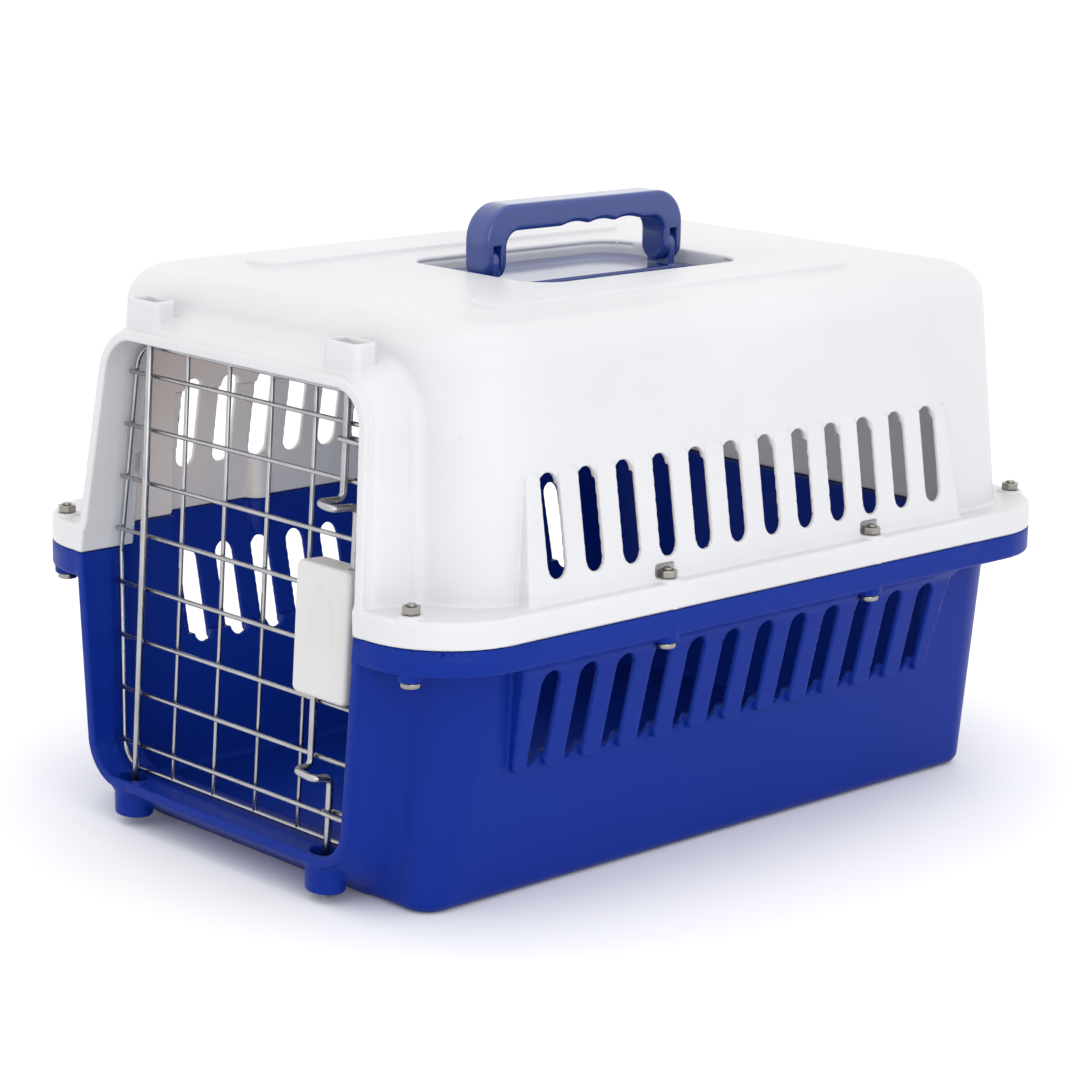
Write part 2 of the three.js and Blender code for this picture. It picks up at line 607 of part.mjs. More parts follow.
// A latch rod: a straight bolt, a finger loop that stands forward, a shank into the housing and a spring arm
function latchRod(tipZ, { innerX, armZ, loopZ, reach }) {
  const rise = Math.sign(tipZ - loopZ) * ROD.loopRise;
  const tip = [ROD.latchX, 0, tipZ];
  const neck = [ROD.latchX, 0, loopZ + rise];
  const outer = [ROD.latchX, -reach, loopZ + rise];
  const inner = [innerX, -reach, loopZ - rise];
  const shank = [innerX, 0, loopZ - rise];
  const elbow = [innerX, 0, armZ];
  const armEnd = [SPRING.x, 0, armZ];
  return bentTube([tip, neck, outer, inner, shank, elbow, armEnd], ROD.bend, ROD.radius, 8, 4);
}

function latchSpring(low, high) {
  const coil = new Helix(SPRING.radius, low + SPRING.wire + SPRING.gap, high - SPRING.wire - SPRING.gap, SPRING.turns);
  const geometry = new THREE.ExtrudeGeometry(circle(SPRING.wire, SPRING.sides), {
    extrudePath: coil, steps: SPRING.turns * SPRING.stepsPerTurn, bevelEnabled: false,
  });
  return geometry.translate(SPRING.x, 0, 0);
}

function door() {
  const group = new THREE.Group();
  group.position.y = DOOR_FOOT_Y;
  group.rotation.x = -Math.atan(DOOR_LEAN);
  const hinge = upright(ROD.radius, ROD.hingeX, 0, ROD.bottomZ + 3, ROD.topZ + 6, 10);
  group.add(
    ...doorGrid(),
    part('hinge_rod', hinge, 'steel'),
    guideEye('latch_guide_upper', EYE.upperZ),
    guideEye('latch_guide_lower', EYE.lowerZ),
    part('latch_housing', latchHousing(), 'latch'),
    part('latch_cover', latchCover(), 'latch'),
    part('latch_rod_upper', latchRod(ROD.topZ, UPPER_ROD), 'steel'),
    part('latch_rod_lower', latchRod(ROD.bottomZ, LOWER_ROD), 'steel'),
    part('latch_spring_upper', latchSpring(SHELF.high, UPPER_ROD.armZ - ROD.radius), 'steel'),
    part('latch_spring_lower', latchSpring(LOWER_ROD.armZ + ROD.radius, SHELF.low), 'steel'),
  );
  return group;
}

// ---- handle --------------------------------------------------------------------------------

function handleOutline() {
  const { front, back, topZ, legWidth, gripHeight, radius } = HANDLE;
  const footZ = PIVOT.z - HANDLE.thick / 2;
  const gripZ = topZ - gripHeight;
  return roundedOutline([
    [front, footZ, 0], [front + legWidth, footZ, 0], [front + legWidth, gripZ, 8], [back - legWidth, gripZ, 8],
    [back - legWidth, footZ, 0], [back, footZ, 0], [back, topZ, radius], [front, topZ, radius],
  ]);
}

// Each leg is forked: a slot between its two lugs holds the post
function forkSlots() {
  const { front, back, legWidth, thick } = HANDLE;
  const lug = PIVOT.lugWidth;
  return [[front + lug, front + legWidth - lug], [back - legWidth + lug, back - lug]].map(([from, to]) => {
    const outline = rectangle(from, to, PIVOT.z - thick, PIVOT.z + PIVOT.postHalf + PIVOT.gap, 0);
    return solid(extrude('x', outline, -thick, thick));
  });
}

function pivotPin(radius, from, to) {
  return new THREE.CylinderGeometry(radius, radius, to - from, 12).translate(0, (from + to) / 2, PIVOT.z);
}

// Both pivot bores, between two depths from the ends of the handle
function pivotBores(from, to) {
  const radius = PIVOT.pinRadius + PIVOT.clearance;
  return [
    pivotPin(radius, HANDLE.front + from, HANDLE.front + to),
    pivotPin(radius, HANDLE.back - to, HANDLE.back - from),
  ].map(solid);
}

// The foot of each leg is rounded about the pivot, so that the handle can fold flat to either side
function footRounder() {
  const half = HANDLE.thick / 2;
  const keep = new THREE.CylinderGeometry(half, half, HANDLE.back - HANDLE.front + 20, 24)
    .translate(0, (HANDLE.back + HANDLE.front) / 2, PIVOT.z);
  const above = extrude('z', rectangle(-half, half, HANDLE.front - 10, HANDLE.back + 10, 0), PIVOT.z, HANDLE.topZ + 5);
  return solid(keep).add(solid(above));
}

function carryHandle() {
  const half = HANDLE.thick / 2;
  const blank = solid(extrude('x', handleOutline(), -half, half, { curveSegments: 4 }));
  const gripZ = HANDLE.topZ - HANDLE.gripHeight;
  const scallops = SCALLOP.centres.map((y) => solid(new THREE.CylinderGeometry(SCALLOP.radius, SCALLOP.radius,
    HANDLE.thick + 10, 40).rotateZ(Math.PI / 2).translate(0, y, gripZ + SCALLOP.depth - SCALLOP.radius)));
  const bounds = solid(extrude('x', rectangle(HANDLE.front + HANDLE.legWidth, HANDLE.back - HANDLE.legWidth,
    gripZ - 1, gripZ + 3, 0), -half - 5, half + 5));
  const bores = pivotBores(PIVOT.skin, HANDLE.legWidth - PIVOT.skin);
  const cutters = scallops.map((scallop) => scallop.intersect(bounds));
  return cutAll(blank.intersect(footRounder()), [...cutters, ...forkSlots(), ...bores]);
}

function pivotPost(from, to) {
  const half = PIVOT.postHalf;
  const round = new THREE.CylinderGeometry(half, half, to - from, 20).translate(0, (from + to) / 2, PIVOT.z);
  const foot = extrude('z', rectangle(-half, half, from, to, 0), BASE.deckZ - BASE.skin / 2, PIVOT.z);
  return solid(round).add(solid(foot));
}

// A moulding that fills the recess, hollow underneath, with a pocket beside the handle's feet
function baseBlock() {
  const low = RECESS.floorZ + BASE.gap;
  const block = recessSlab(-BASE.gap, low, BASE.deckZ);
  const pocket = rectangle(POCKET.left, POCKET.right, POCKET.front, POCKET.back, POCKET.radius);
  const hollow = rectangle(BASE.skin - RECESS.half, POCKET.left - BASE.skin, RECESS.front + BASE.skin,
    RECESS.back - BASE.skin, POCKET.radius);
  return block
    .subtract(solid(extrude('z', pocket, BASE.floorZ, BASE.deckZ + 1)))
    .subtract(solid(extrude('z', hollow, low - 1, BASE.deckZ - BASE.skin)));
}

function handleBase() {
  const { front, back, legWidth } = HANDLE;
  const near = PIVOT.lugWidth + PIVOT.gap;
  const far = legWidth - near;
  const posts = [pivotPost(front + near, front + far), pivotPost(back - far, back - near)];
  return cutAll(joinAll([baseBlock(), ...posts]), pivotBores(near - 1, far + 1));
}

function handleParts() {
  const { front, back, legWidth } = HANDLE;
  const inset = PIVOT.skin + 0.3;
  return [
    part('handle_base', handleBase(), 'handle'),
    part('carry_handle', carryHandle(), 'handle'),
    part('handle_pin_front', pivotPin(PIVOT.pinRadius, front + inset, front + legWidth - inset), 'zinc'),
    part('handle_pin_rear', pivotPin(PIVOT.pinRadius, back - legWidth + inset, back - inset), 'zinc'),
  ];
}

// ---- assembly ------------------------------------------------------------------------------

const carrier = new THREE.Group();
carrier.add(
  part('upper_shell', upperShell(), 'white'),
  part('lower_tub', lowerTub(), 'blue'),
  ...fasteners(),
  door(),
  ...handleParts(),
);

export default carrier;
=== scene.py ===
"""Looks of a two-part plastic pet carrier: moulded shells, a wire door, materials, light and camera."""
import json
import math

import bpy
import numpy as np
import openvdb
from mathutils import Matrix, Vector


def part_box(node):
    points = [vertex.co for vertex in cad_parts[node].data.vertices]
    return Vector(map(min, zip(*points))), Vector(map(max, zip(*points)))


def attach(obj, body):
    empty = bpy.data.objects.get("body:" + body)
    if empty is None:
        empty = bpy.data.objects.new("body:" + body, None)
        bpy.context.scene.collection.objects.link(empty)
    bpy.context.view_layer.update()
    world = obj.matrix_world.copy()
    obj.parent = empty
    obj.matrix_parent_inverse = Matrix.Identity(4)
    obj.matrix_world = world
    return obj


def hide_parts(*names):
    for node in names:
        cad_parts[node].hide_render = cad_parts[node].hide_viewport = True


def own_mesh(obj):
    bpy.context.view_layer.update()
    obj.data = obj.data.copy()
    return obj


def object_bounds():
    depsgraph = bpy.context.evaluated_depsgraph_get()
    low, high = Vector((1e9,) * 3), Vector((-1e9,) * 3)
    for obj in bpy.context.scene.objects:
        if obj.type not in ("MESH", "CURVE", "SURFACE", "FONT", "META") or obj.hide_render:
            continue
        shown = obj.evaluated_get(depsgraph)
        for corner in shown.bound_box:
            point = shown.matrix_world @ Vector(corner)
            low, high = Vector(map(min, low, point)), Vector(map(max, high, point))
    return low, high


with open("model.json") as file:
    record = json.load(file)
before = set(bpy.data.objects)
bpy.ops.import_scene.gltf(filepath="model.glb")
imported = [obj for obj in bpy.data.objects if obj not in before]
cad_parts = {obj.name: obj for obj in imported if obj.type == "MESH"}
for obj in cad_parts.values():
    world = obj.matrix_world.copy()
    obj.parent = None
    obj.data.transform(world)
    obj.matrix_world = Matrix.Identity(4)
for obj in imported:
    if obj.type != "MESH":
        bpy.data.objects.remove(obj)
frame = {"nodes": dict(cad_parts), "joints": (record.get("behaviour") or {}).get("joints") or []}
cad_bounds = [list(map(float, corner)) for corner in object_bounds()]

# Everything below is worked out in millimetres, in the frame's axes, and scaled to metres at the end
MM = 0.001


def box_mm(node):
    low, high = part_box(node)
    return np.array(low) / MM, np.array(high) / MM


SHELL_LOW, SHELL_HIGH = box_mm("upper_shell")
TUB_LOW, TUB_HIGH = box_mm("lower_tub")
BASE_LOW, BASE_HIGH = box_mm("handle_base")
GRIP_LOW, GRIP_HIGH = box_mm("carry_handle")
JOINTS = {joint["name"]: joint for joint in frame["joints"]}

SEAM_TOP = SHELL_LOW[2]
SEAM_BOTTOM = TUB_HIGH[2]
SEAM = (SEAM_TOP + SEAM_BOTTOM) / 2
FLANGE_HALF = SHELL_HIGH[0]
FLANGE_REACH = SHELL_HIGH[1]

# Shells, as in the CAD: half width, front and back at the two ends of each taper
UPPER = {"z": (148, 300), "half": (164, 155), "front": (-213, -204), "back": (228, 215), "corner": 45}
LOWER = {"z": (0, 148), "half": (140, 161), "front": (-217, -219), "back": (214, 222), "corner": 42,
         "foot_corner": 16}
WALL = 3
ROOF = {"z": 300, "crown": 2.2, "fillet": 18}
TUB_FILLET = 6
LEDGE_TOP = 162.5
LEDGE_BOTTOM = 134
FLANGE_CORNER = 52
MOUTH = {"top": 268, "bottom": 26, "seam_half": 115.5, "end_half": 105, "corner": 18, "back": -180}
RIM = {"lip": 6, "lip_depth": 3.5, "step": 1.6, "flare": 7.5, "front": -245, "back": -200, "lean": 0.1,
       "run": 34, "drop": 12, "drop_from": 60, "drop_fade": 40}
SLOTS = {"count": 12, "pitch": 26.5, "first": -155, "radius": 6.2}
# How far from the middle plane the slots, the panels and the nut pockets may begin
SIDE = {"slots": 120, "panels": 135, "pockets": 160}
UPPER_SLOTS = (174, 227)
LOWER_SLOTS = (73, 126)
PANEL = {"reach": 161.3, "draft": 0.09, "shoulder": 5, "notch": 7.4, "notch_top": 171}
HOLLOW = {"skin": 2.8, "end_skin": 5.5, "round_screw": 9, "column": (122, 174)}
UPPER_PANEL = {"end": 228.5, "seam": 161.5, "faces": (160.4, 171.4)}
LOWER_PANEL = {"end": 70.5, "seam": 148, "faces": (154.2, 172), "flare": 11}
RAIL = {"x": 93, "half": 15, "front": -143, "back": 133, "rise": 2.4}
RECESS = {"half": 56, "front": -66, "back": 97, "corner": 20, "floor": 286}
SOCKET = {"half": 13.5, "half_depth": 7.5, "top": 290.5, "floor": 279.5, "bottom": 266,
          "wall": 2.4, "end_wall": 2.2}
CUP = {"radius": 12, "inner": 9, "squash": 0.8, "even": 0.9, "bottom": 5, "floor": 8.5, "top": 24, "open": 40}
ROD_HOLE = {"radius": 2.5, "above": 230, "below": 40}
BOSS = {"radius": 7, "top": 164, "bottom": 130, "hole": 2.8, "hole_from": 125}
NUT_POCKET = {"radius": 6.3, "from": 118}
# The usual radius of a small moulded edge
EDGE = 0.8
SCREW_SPOTS = [
    ((box_mm(f"screw_{i}")[0] + box_mm(f"screw_{i}")[1]) / 2)[:2] for i in range(1, 9)
]

# The door leans back about its foot, as its hinge does
UP = -Vector(JOINTS["door_swing"]["axis"])
LEAN = UP.y / UP.z
HINGE_FOOT = Vector(JOINTS["door_swing"]["pos_m"]) / MM
FOOT_Y = HINGE_FOOT.y - HINGE_FOOT.z * LEAN
DOOR = Matrix.Translation((0, FOOT_Y, 0)) @ Matrix.Rotation(-math.atan(LEAN), 4, "X")
ROD_X = 83
CROSSBARS = {"count": 8, "low": 42.8, "pitch": 29.4, "clear": 2.4, "y": 3.5}
PERIMETER = {"clear": 4.4, "low": 29, "high": 263.8, "corner": 14, "y": 6.0}
UPRIGHTS = (-56.8, -20.6, 15.2, 51.2)
WIRE = 1.25
ROD = 2
UPPER_LATCH = {"tip": 277.5, "loop": 209, "reach": 17, "inner": 94, "arm": 168, "travel": 10.5}
LOWER_LATCH = {"tip": 1.5, "loop": 66, "reach": 11, "inner": 67, "arm": 114, "travel": 26.5}
GUIDES = {"upper": 241, "lower": 46}
SPRING = {"x": 80.5, "radius": 3.6, "wire": 0.6, "turns": 4, "steps": 24, "gap": 0.3}
HINGE = {"low": 4.5, "middle": 140, "high": 283.5}
LOOP = {"slope": 0.8, "bend": 4.6}
EYE = {"gap": 0.25, "past": 1.5, "leg": 8, "steps": 21, "tail": 2.0}
# The bend and the spacing of a wire that is all but straight
SLIGHT = (30, 12)

# The grid spacing of each group of mouldings, quick and full
VOXELS = {"shells": (2.2, 1.25), "handle": (1.2, 0.7), "fasteners": (0.5, 0.3), "latch": (0.9, 0.55)}


# ---- fields: the signed distance from a surface, in millimetres, negative inside ------------

def rounded(a, b, radius):
    """What two fields share, with a round outer edge."""
    outside = np.hypot(np.maximum(a + radius, 0), np.maximum(b + radius, 0))
    return np.minimum(np.maximum(a, b), -radius) + outside


def joined(a, b, radius):
    """Two fields together, with a round inner corner."""
    return -rounded(-a, -b, radius)


def cut(a, tool, radius):
    """One field without another, with a round edge."""
    return rounded(a, -tool, radius)


def slab(u, v, half_u, half_v, radius):
    """A rectangle with round corners, across two axes."""
    across = np.abs(u) - half_u + radius
    along = np.abs(v) - half_v + radius
    corner = np.hypot(np.maximum(across, 0), np.maximum(along, 0))
    return corner + np.minimum(np.maximum(across, along), 0) - radius


def between(value, low, high):
    return np.abs(value - (low + high) / 2) - (high - low) / 2


def blend_line(value, ends, results):
    """A straight line between two results, carried on past both ends."""
    share = (value - ends[0]) / (ends[1] - ends[0])
    return results[0] + (results[1] - results[0]) * share


def tapered(x, y, z, shell, inset=0):
    front = blend_line(z, shell["z"], shell["front"]) + inset
    back = blend_line(z, shell["z"], shell["back"]) - inset
    half = blend_line(z, shell["z"], shell["half"]) - inset
    foot = shell.get("foot_corner", shell["corner"])
    corner = np.clip(blend_line(z, shell["z"], (foot, shell["corner"])), 5, shell["corner"]) - inset
    return slab(x, y - (front + back) / 2, half, (back - front) / 2, corner)


def along_side(x, y):
    """The place along a side: the left side carries the right side's pattern, turned half round."""
    return np.where(x > 0, y, -y)


def to_slot(along, shift=0.0):
    """The distance along the side to the nearest slot, or rib with a shift of half a pitch."""
    start = SLOTS["first"] + shift
    last = SLOTS["count"] - 1 if shift == 0 else SLOTS["count"]
    index = np.clip(np.round((along - start) / SLOTS["pitch"]), 0, last)
    return along - start - index * SLOTS["pitch"]


def slot_field(x, y, z, ends):
    radius = SLOTS["radius"]
    middle = (ends[0] + ends[1]) / 2
    reach = (ends[1] - ends[0]) / 2 - radius
    across = to_slot(along_side(x, y))
    outline = np.hypot(across, np.maximum(np.abs(z - middle) - reach, 0)) - radius
    return np.maximum(outline, SIDE["slots"] - np.abs(x))


def mouth_half(z):
    taper = (MOUTH["seam_half"] - MOUTH["end_half"]) / (MOUTH["top"] - SEAM)
    return MOUTH["seam_half"] - taper * abs(z - SEAM)


def mouth_field(x, z, grow=0.0, drop=0.0):
    half = mouth_half(z) + grow
    top = MOUTH["top"] + grow
    bottom = MOUTH["bottom"] - grow - drop
    return slab(x, z - (top + bottom) / 2, half, (top - bottom) / 2, MOUTH["corner"] + grow)


def surround_field(x, y, z):
    """The door surround: a lip, a step outwards, and a side that swells on its way back."""
    depth = y - RIM["front"] - np.maximum(z - SEAM, 0) * RIM["lean"]
    run = np.clip((depth - RIM["lip_depth"]) / RIM["run"], 0, 1)
    swell = RIM["step"] + RIM["flare"] * np.sin(run * math.pi / 2)
    drop = RIM["drop"] * run * np.clip((RIM["drop_from"] - z) / RIM["drop_fade"], 0, 1)
    lip = rounded(mouth_field(x, z, RIM["lip"]), -depth, 1.4)
    side = rounded(mouth_field(x, z, RIM["lip"] + swell, drop), RIM["lip_depth"] - depth, 3)
    return rounded(joined(lip, side, EDGE), y - RIM["back"], 1)


def rod_y(z):
    return FOOT_Y + z * LEAN


def each_side(x):
    return np.abs(x) - ROD_X


def screw_field(x, y, radius):
    fields = [np.hypot(x - sx, y - sy) - radius for sx, sy in SCREW_SPOTS]
    return np.minimum.reduce(fields)


def rod_hole(x, y, z):
    return np.hypot(each_side(x), y - rod_y(z)) - ROD_HOLE["radius"]


def cup_field(x, y, radius):
    """A flattened cup round each rod's foot."""
    across = (y - rod_y(CUP["bottom"])) / CUP["squash"]
    return (np.hypot(each_side(x), across) - radius) * CUP["even"]


def recess_field(x, y, grow=0):
    middle = (RECESS["front"] + RECESS["back"]) / 2
    reach = (RECESS["back"] - RECESS["front"]) / 2
    return slab(x, y - middle, RECESS["half"] + grow, reach + grow, RECESS["corner"] + grow)


def roof_height(x, y):
    across = (x / UPPER["half"][1]) ** 2
    along = ((y - 5) / 210) ** 2
    return ROOF["z"] + ROOF["crown"] * np.clip(1 - across, -1, 1) * np.clip(1 - along, -1, 1)


def panel_rise(z, panel):
    """The distance from a panel's free end towards the seam."""
    return (panel["end"] - z) * (1 if panel["end"] > panel["seam"] else -1)


def panel_edge(x, y):
    """The distance along the side beyond a panel's two edges."""
    middle = SLOTS["first"] + SLOTS["pitch"] * (SLOTS["count"] - 1) / 2
    return np.abs(along_side(x, y) - middle) - PANEL["reach"]


def panel_face(x, rise, panel):
    return np.abs(x) - blend_line(rise, (0, abs(panel["seam"] - panel["end"])), panel["faces"])


def panel_field(x, y, z, panel, slots):
    """Ribs between the slots, with round free ends, that grow out of one band beside the seam."""
    rise = panel_rise(z, panel)
    slots_reach = max(abs(end - panel["end"]) for end in slots)
    across = np.abs(to_slot(along_side(x, y), -SLOTS["pitch"] / 2)) - SLOTS["pitch"] / 2 + SLOTS["radius"]
    ribs = rounded(across, -rise, PANEL["shoulder"])
    band = slots_reach - SLOTS["radius"] - rise
    edge = panel_edge(x, y) - PANEL["draft"] * rise
    outline = np.maximum(np.minimum(ribs, band), rounded(edge, -rise, PANEL["shoulder"]))
    return np.maximum(rounded(outline, panel_face(x, rise, panel), 1.2), SIDE["panels"] - np.abs(x))


def panel_hollow(x, y, z, panel):
    """The room behind a panel, clear of the screws."""
    rise = panel_rise(z, panel)
    outline = np.maximum(panel_edge(x, y), HOLLOW["end_skin"] - rise)
    room = np.maximum(outline, panel_face(x, rise, panel)) + HOLLOW["skin"]
    column = np.maximum(screw_field(x, y, HOLLOW["round_screw"]), between(z, *HOLLOW["column"]))
    return np.maximum(np.maximum(room, SIDE["panels"] - np.abs(x)), -column)


def screw_notch(x, y, z):
    """Room round each nut, cut into the foot of the ribbed panel."""
    return rounded(screw_field(x, y, PANEL["notch"]), z - PANEL["notch_top"], 2)


def upper_shell_field(x, y, z):
    roof = roof_height(x, y)
    body = rounded(tapered(x, y, z, UPPER), z - roof, ROOF["fillet"])
    inside = rounded(tapered(x, y, z, UPPER, WALL), z - roof + WALL, ROOF["fillet"] - WALL)
    shape = joined(body, surround_field(x, y, z), 5)
    socket = slab(each_side(x), y - rod_y(SOCKET["top"]), SOCKET["half"], SOCKET["half_depth"], 4)
    socket_shape = rounded(socket, between(z, SOCKET["bottom"], SOCKET["top"]), 1.2)
    shape = joined(shape, socket_shape, 1.5)
    rail = slab(np.abs(x) - RAIL["x"], y - (RAIL["front"] + RAIL["back"]) / 2, RAIL["half"],
                (RAIL["back"] - RAIL["front"]) / 2, RAIL["half"] - 1)
    shape = joined(shape, rounded(rail, z - roof - RAIL["rise"], 1.6), 1.6)
    panel = np.maximum(panel_field(x, y, z, UPPER_PANEL, UPPER_SLOTS), -screw_notch(x, y, z))
    shape = joined(shape, panel, EDGE)
    flange = slab(x, y, FLANGE_HALF, FLANGE_REACH, FLANGE_CORNER)
    shape = joined(shape, rounded(flange, z - LEDGE_TOP, 2.6), 2.2)
    shape = joined(shape, rounded(screw_field(x, y, BOSS["radius"]), z - BOSS["top"], EDGE), EDGE)
    shape = cut(shape, inside, EDGE)
    shape = cut(shape, panel_hollow(x, y, z, UPPER_PANEL), 0.6)
    recess = recess_field(x, y)
    tray = np.maximum(recess - WALL, between(z, RECESS["floor"] - WALL, ROOF["z"] - 1))
    shape = joined(shape, tray, 1)
    shape = cut(shape, np.maximum(recess, RECESS["floor"] - z), 2.2)
    shape = cut(shape, np.maximum(mouth_field(x, z), y - MOUTH["back"]), 1.3)
    shape = cut(shape, slot_field(x, y, z, UPPER_SLOTS), EDGE)
    hollow = slab(each_side(x), y - rod_y(SOCKET["top"]), SOCKET["half"] - SOCKET["wall"],
                  SOCKET["half_depth"] - SOCKET["end_wall"], 2)
    shape = cut(shape, np.maximum(hollow, SOCKET["floor"] - z), 0.7)
    shape = cut(shape, np.maximum(rod_hole(x, y, z), ROD_HOLE["above"] - z), 0.4)
    shape = cut(shape, np.maximum(screw_field(x, y, BOSS["hole"]), z - BOSS["top"] - 5), 0.3)
    return rounded(shape, SEAM_TOP - z, EDGE)


def lower_tub_field(x, y, z):
    body = rounded(tapered(x, y, z, LOWER), TUB_LOW[2] - z, TUB_FILLET)
    inside = rounded(tapered(x, y, z, LOWER, WALL), TUB_LOW[2] + WALL - z, TUB_FILLET - WALL)
    shape = joined(body, surround_field(x, y, z), 5)
    cups = rounded(cup_field(x, y, CUP["radius"]), between(z, CUP["bottom"], CUP["top"]), 1.5)
    shape = joined(shape, cups, 2)
    flange = slab(x, y, FLANGE_HALF, FLANGE_REACH, FLANGE_CORNER)
    flange = rounded(flange, LEDGE_BOTTOM - z, 1.6)
    panel = panel_field(x, y, z, LOWER_PANEL, LOWER_SLOTS)
    shape = joined(shape, joined(flange, panel, LOWER_PANEL["flare"]), 1.2)
    bosses = np.maximum(screw_field(x, y, BOSS["radius"]), LEDGE_BOTTOM - 4 - z)
    shape = joined(shape, bosses, EDGE)
    shape = cut(cut(shape, inside, EDGE), panel_hollow(x, y, z, LOWER_PANEL), EDGE)
    shape = cut(shape, np.maximum(mouth_field(x, z), y - MOUTH["back"]), 1.3)
    shape = cut(shape, slot_field(x, y, z, LOWER_SLOTS), EDGE)
    cup_hollow = cup_field(x, y, CUP["inner"])
    shape = cut(shape, np.maximum(cup_hollow, between(z, CUP["floor"], CUP["open"])), EDGE)
    shape = cut(shape, np.maximum(rod_hole(x, y, z), z - ROD_HOLE["below"]), 0.4)
    pockets = screw_field(x, y, NUT_POCKET["radius"])
    pockets = np.maximum(pockets, between(z, NUT_POCKET["from"], BOSS["bottom"]))
    shape = cut(shape, np.maximum(pockets, SIDE["pockets"] - np.abs(x)), 0.6)
    shape = cut(shape, np.maximum(screw_field(x, y, BOSS["hole"]), BOSS["hole_from"] - z), 0.3)
    return rounded(np.maximum(shape, TUB_LOW[2] - z), z - SEAM_BOTTOM, EDGE)


# ---- fields of the smaller mouldings ---------------------------------------------------------

GRIP_MIDDLE = (GRIP_LOW[1] + GRIP_HIGH[1]) / 2
GRIP_REACH = (GRIP_HIGH[1] - GRIP_LOW[1]) / 2
GRIP_HALF = GRIP_HIGH[0]
GRIP = {"leg": 15.5, "bar": 15, "outer": 20, "inner": 9, "edge": 2.4, "span": 50}
SCALLOPS = {"places": (6.75, 27.25, 47.5), "radius": 30, "depth": 1.8, "room": 8}
PIVOT_Z = JOINTS["handle_fold"]["pos_m"][2] / MM
LUG = {"width": 5, "gap": 0.45, "post": 9.1, "room": 9.7, "hole": 2.85, "wall": 1.3}
DECK = {"top": 293.8, "skin": 2.6, "floor": 288.6}
POCKET = {"x": (9.5, 50), "y": (-55, 88), "corner": 8}


def leg_place(y):
    """The distance from the handle's middle along its length, the same for both legs."""
    return np.abs(y - GRIP_MIDDLE)


def pivot_bore(x, y, z, low, high):
    return np.maximum(np.hypot(x, z - PIVOT_Z) - LUG["hole"], between(leg_place(y), low, high))


def handle_field(x, y, z):
    top = GRIP_HIGH[2]
    grip_z = top - GRIP["bar"]
    outer = slab(y - GRIP_MIDDLE, z - top + GRIP["span"], GRIP_REACH, GRIP["span"], GRIP["outer"])
    opening = slab(y - GRIP_MIDDLE, z - grip_z + GRIP["span"], GRIP_REACH - GRIP["leg"], GRIP["span"],
                   GRIP["inner"])
    for place in SCALLOPS["places"]:
        rise = z - grip_z - SCALLOPS["depth"] + SCALLOPS["radius"]
        finger = np.hypot(y - place, rise) - SCALLOPS["radius"]
        opening = joined(opening, np.maximum(finger, grip_z - SCALLOPS["room"] - z), EDGE)
    profile = np.maximum(outer, -opening)
    sides = np.hypot(x, np.minimum(z - PIVOT_Z, 0)) - GRIP_HALF
    shape = rounded(profile, sides, GRIP["edge"])
    inner = GRIP_REACH - GRIP["leg"]
    fork = between(leg_place(y), inner + LUG["width"], GRIP_REACH - LUG["width"])
    shape = cut(shape, np.maximum(z - PIVOT_Z - LUG["room"], fork), 0.4)
    return cut(shape, pivot_bore(x, y, z, inner + LUG["wall"], GRIP_REACH - LUG["wall"]), 0.3)


def base_field(x, y, z):
    block = rounded(recess_field(x, y, -0.4), between(z, BASE_LOW[2], DECK["top"]), 0.9)
    left, right = POCKET["x"]
    front, back = POCKET["y"]
    pocket = slab(x - (left + right) / 2, y - (front + back) / 2, (right - left) / 2, (back - front) / 2,
                  POCKET["corner"])
    shape = cut(block, np.maximum(pocket, DECK["floor"] - z), 1.1)
    hollow = np.maximum(recess_field(x, y, -DECK["skin"]), x - left + DECK["skin"])
    shape = np.maximum(shape, -np.maximum(hollow, z - DECK["top"] + DECK["skin"]))
    sides = np.hypot(x, np.maximum(z - PIVOT_Z, 0)) - LUG["post"]
    inner = GRIP_REACH - GRIP["leg"] + LUG["width"] + LUG["gap"]
    outer = GRIP_REACH - LUG["width"] - LUG["gap"]
    post = rounded(sides, between(leg_place(y), inner, outer), 0.5)
    post = np.maximum(post, DECK["top"] - DECK["skin"] - z)
    shape = joined(shape, post, 1)
    return cut(shape, pivot_bore(x, y, z, inner - 1, outer + 1), 0.3)


HOUSING = {"x": (57.5, 100.3), "z": (106, 176), "front": -8, "back": 6.0, "cover": 8, "corner": 4.5,
           "wall": 3.2, "face": 3.5, "shelf": (148, 150), "rod_hole": 2.6, "cover_gap": 0.3}
DIMPLE = {"half": 10, "reach": 24, "depth": 2.6}
CLIPS = {"middles": (113, 167), "half": 3, "front": 2, "reach": 10, "root": 2, "gap": 0.3}
HOUSING_RODS = ((94, 165, 185), (67, 98, 117))


def housing_outline(x, z, inset=0.0):
    (left, right), (low, high) = HOUSING["x"], HOUSING["z"]
    return slab(x - (left + right) / 2, z - (low + high) / 2, (right - left) / 2 - inset,
                (high - low) / 2 - inset, HOUSING["corner"] - inset)


def clip_field(x, y, z, middle):
    """A tab from the housing's right side to the door's outer wire."""
    far_end = SEAM + abs(middle - SEAM) + CLIPS["half"]
    end = mouth_half(far_end) - PERIMETER["clear"] - WIRE - CLIPS["gap"]
    along = between(x, HOUSING["x"][1] - CLIPS["root"], end)
    face = rounded(np.abs(z - middle) - CLIPS["half"], along, EDGE)
    return np.maximum(face, between(y, CLIPS["front"], HOUSING["back"]))


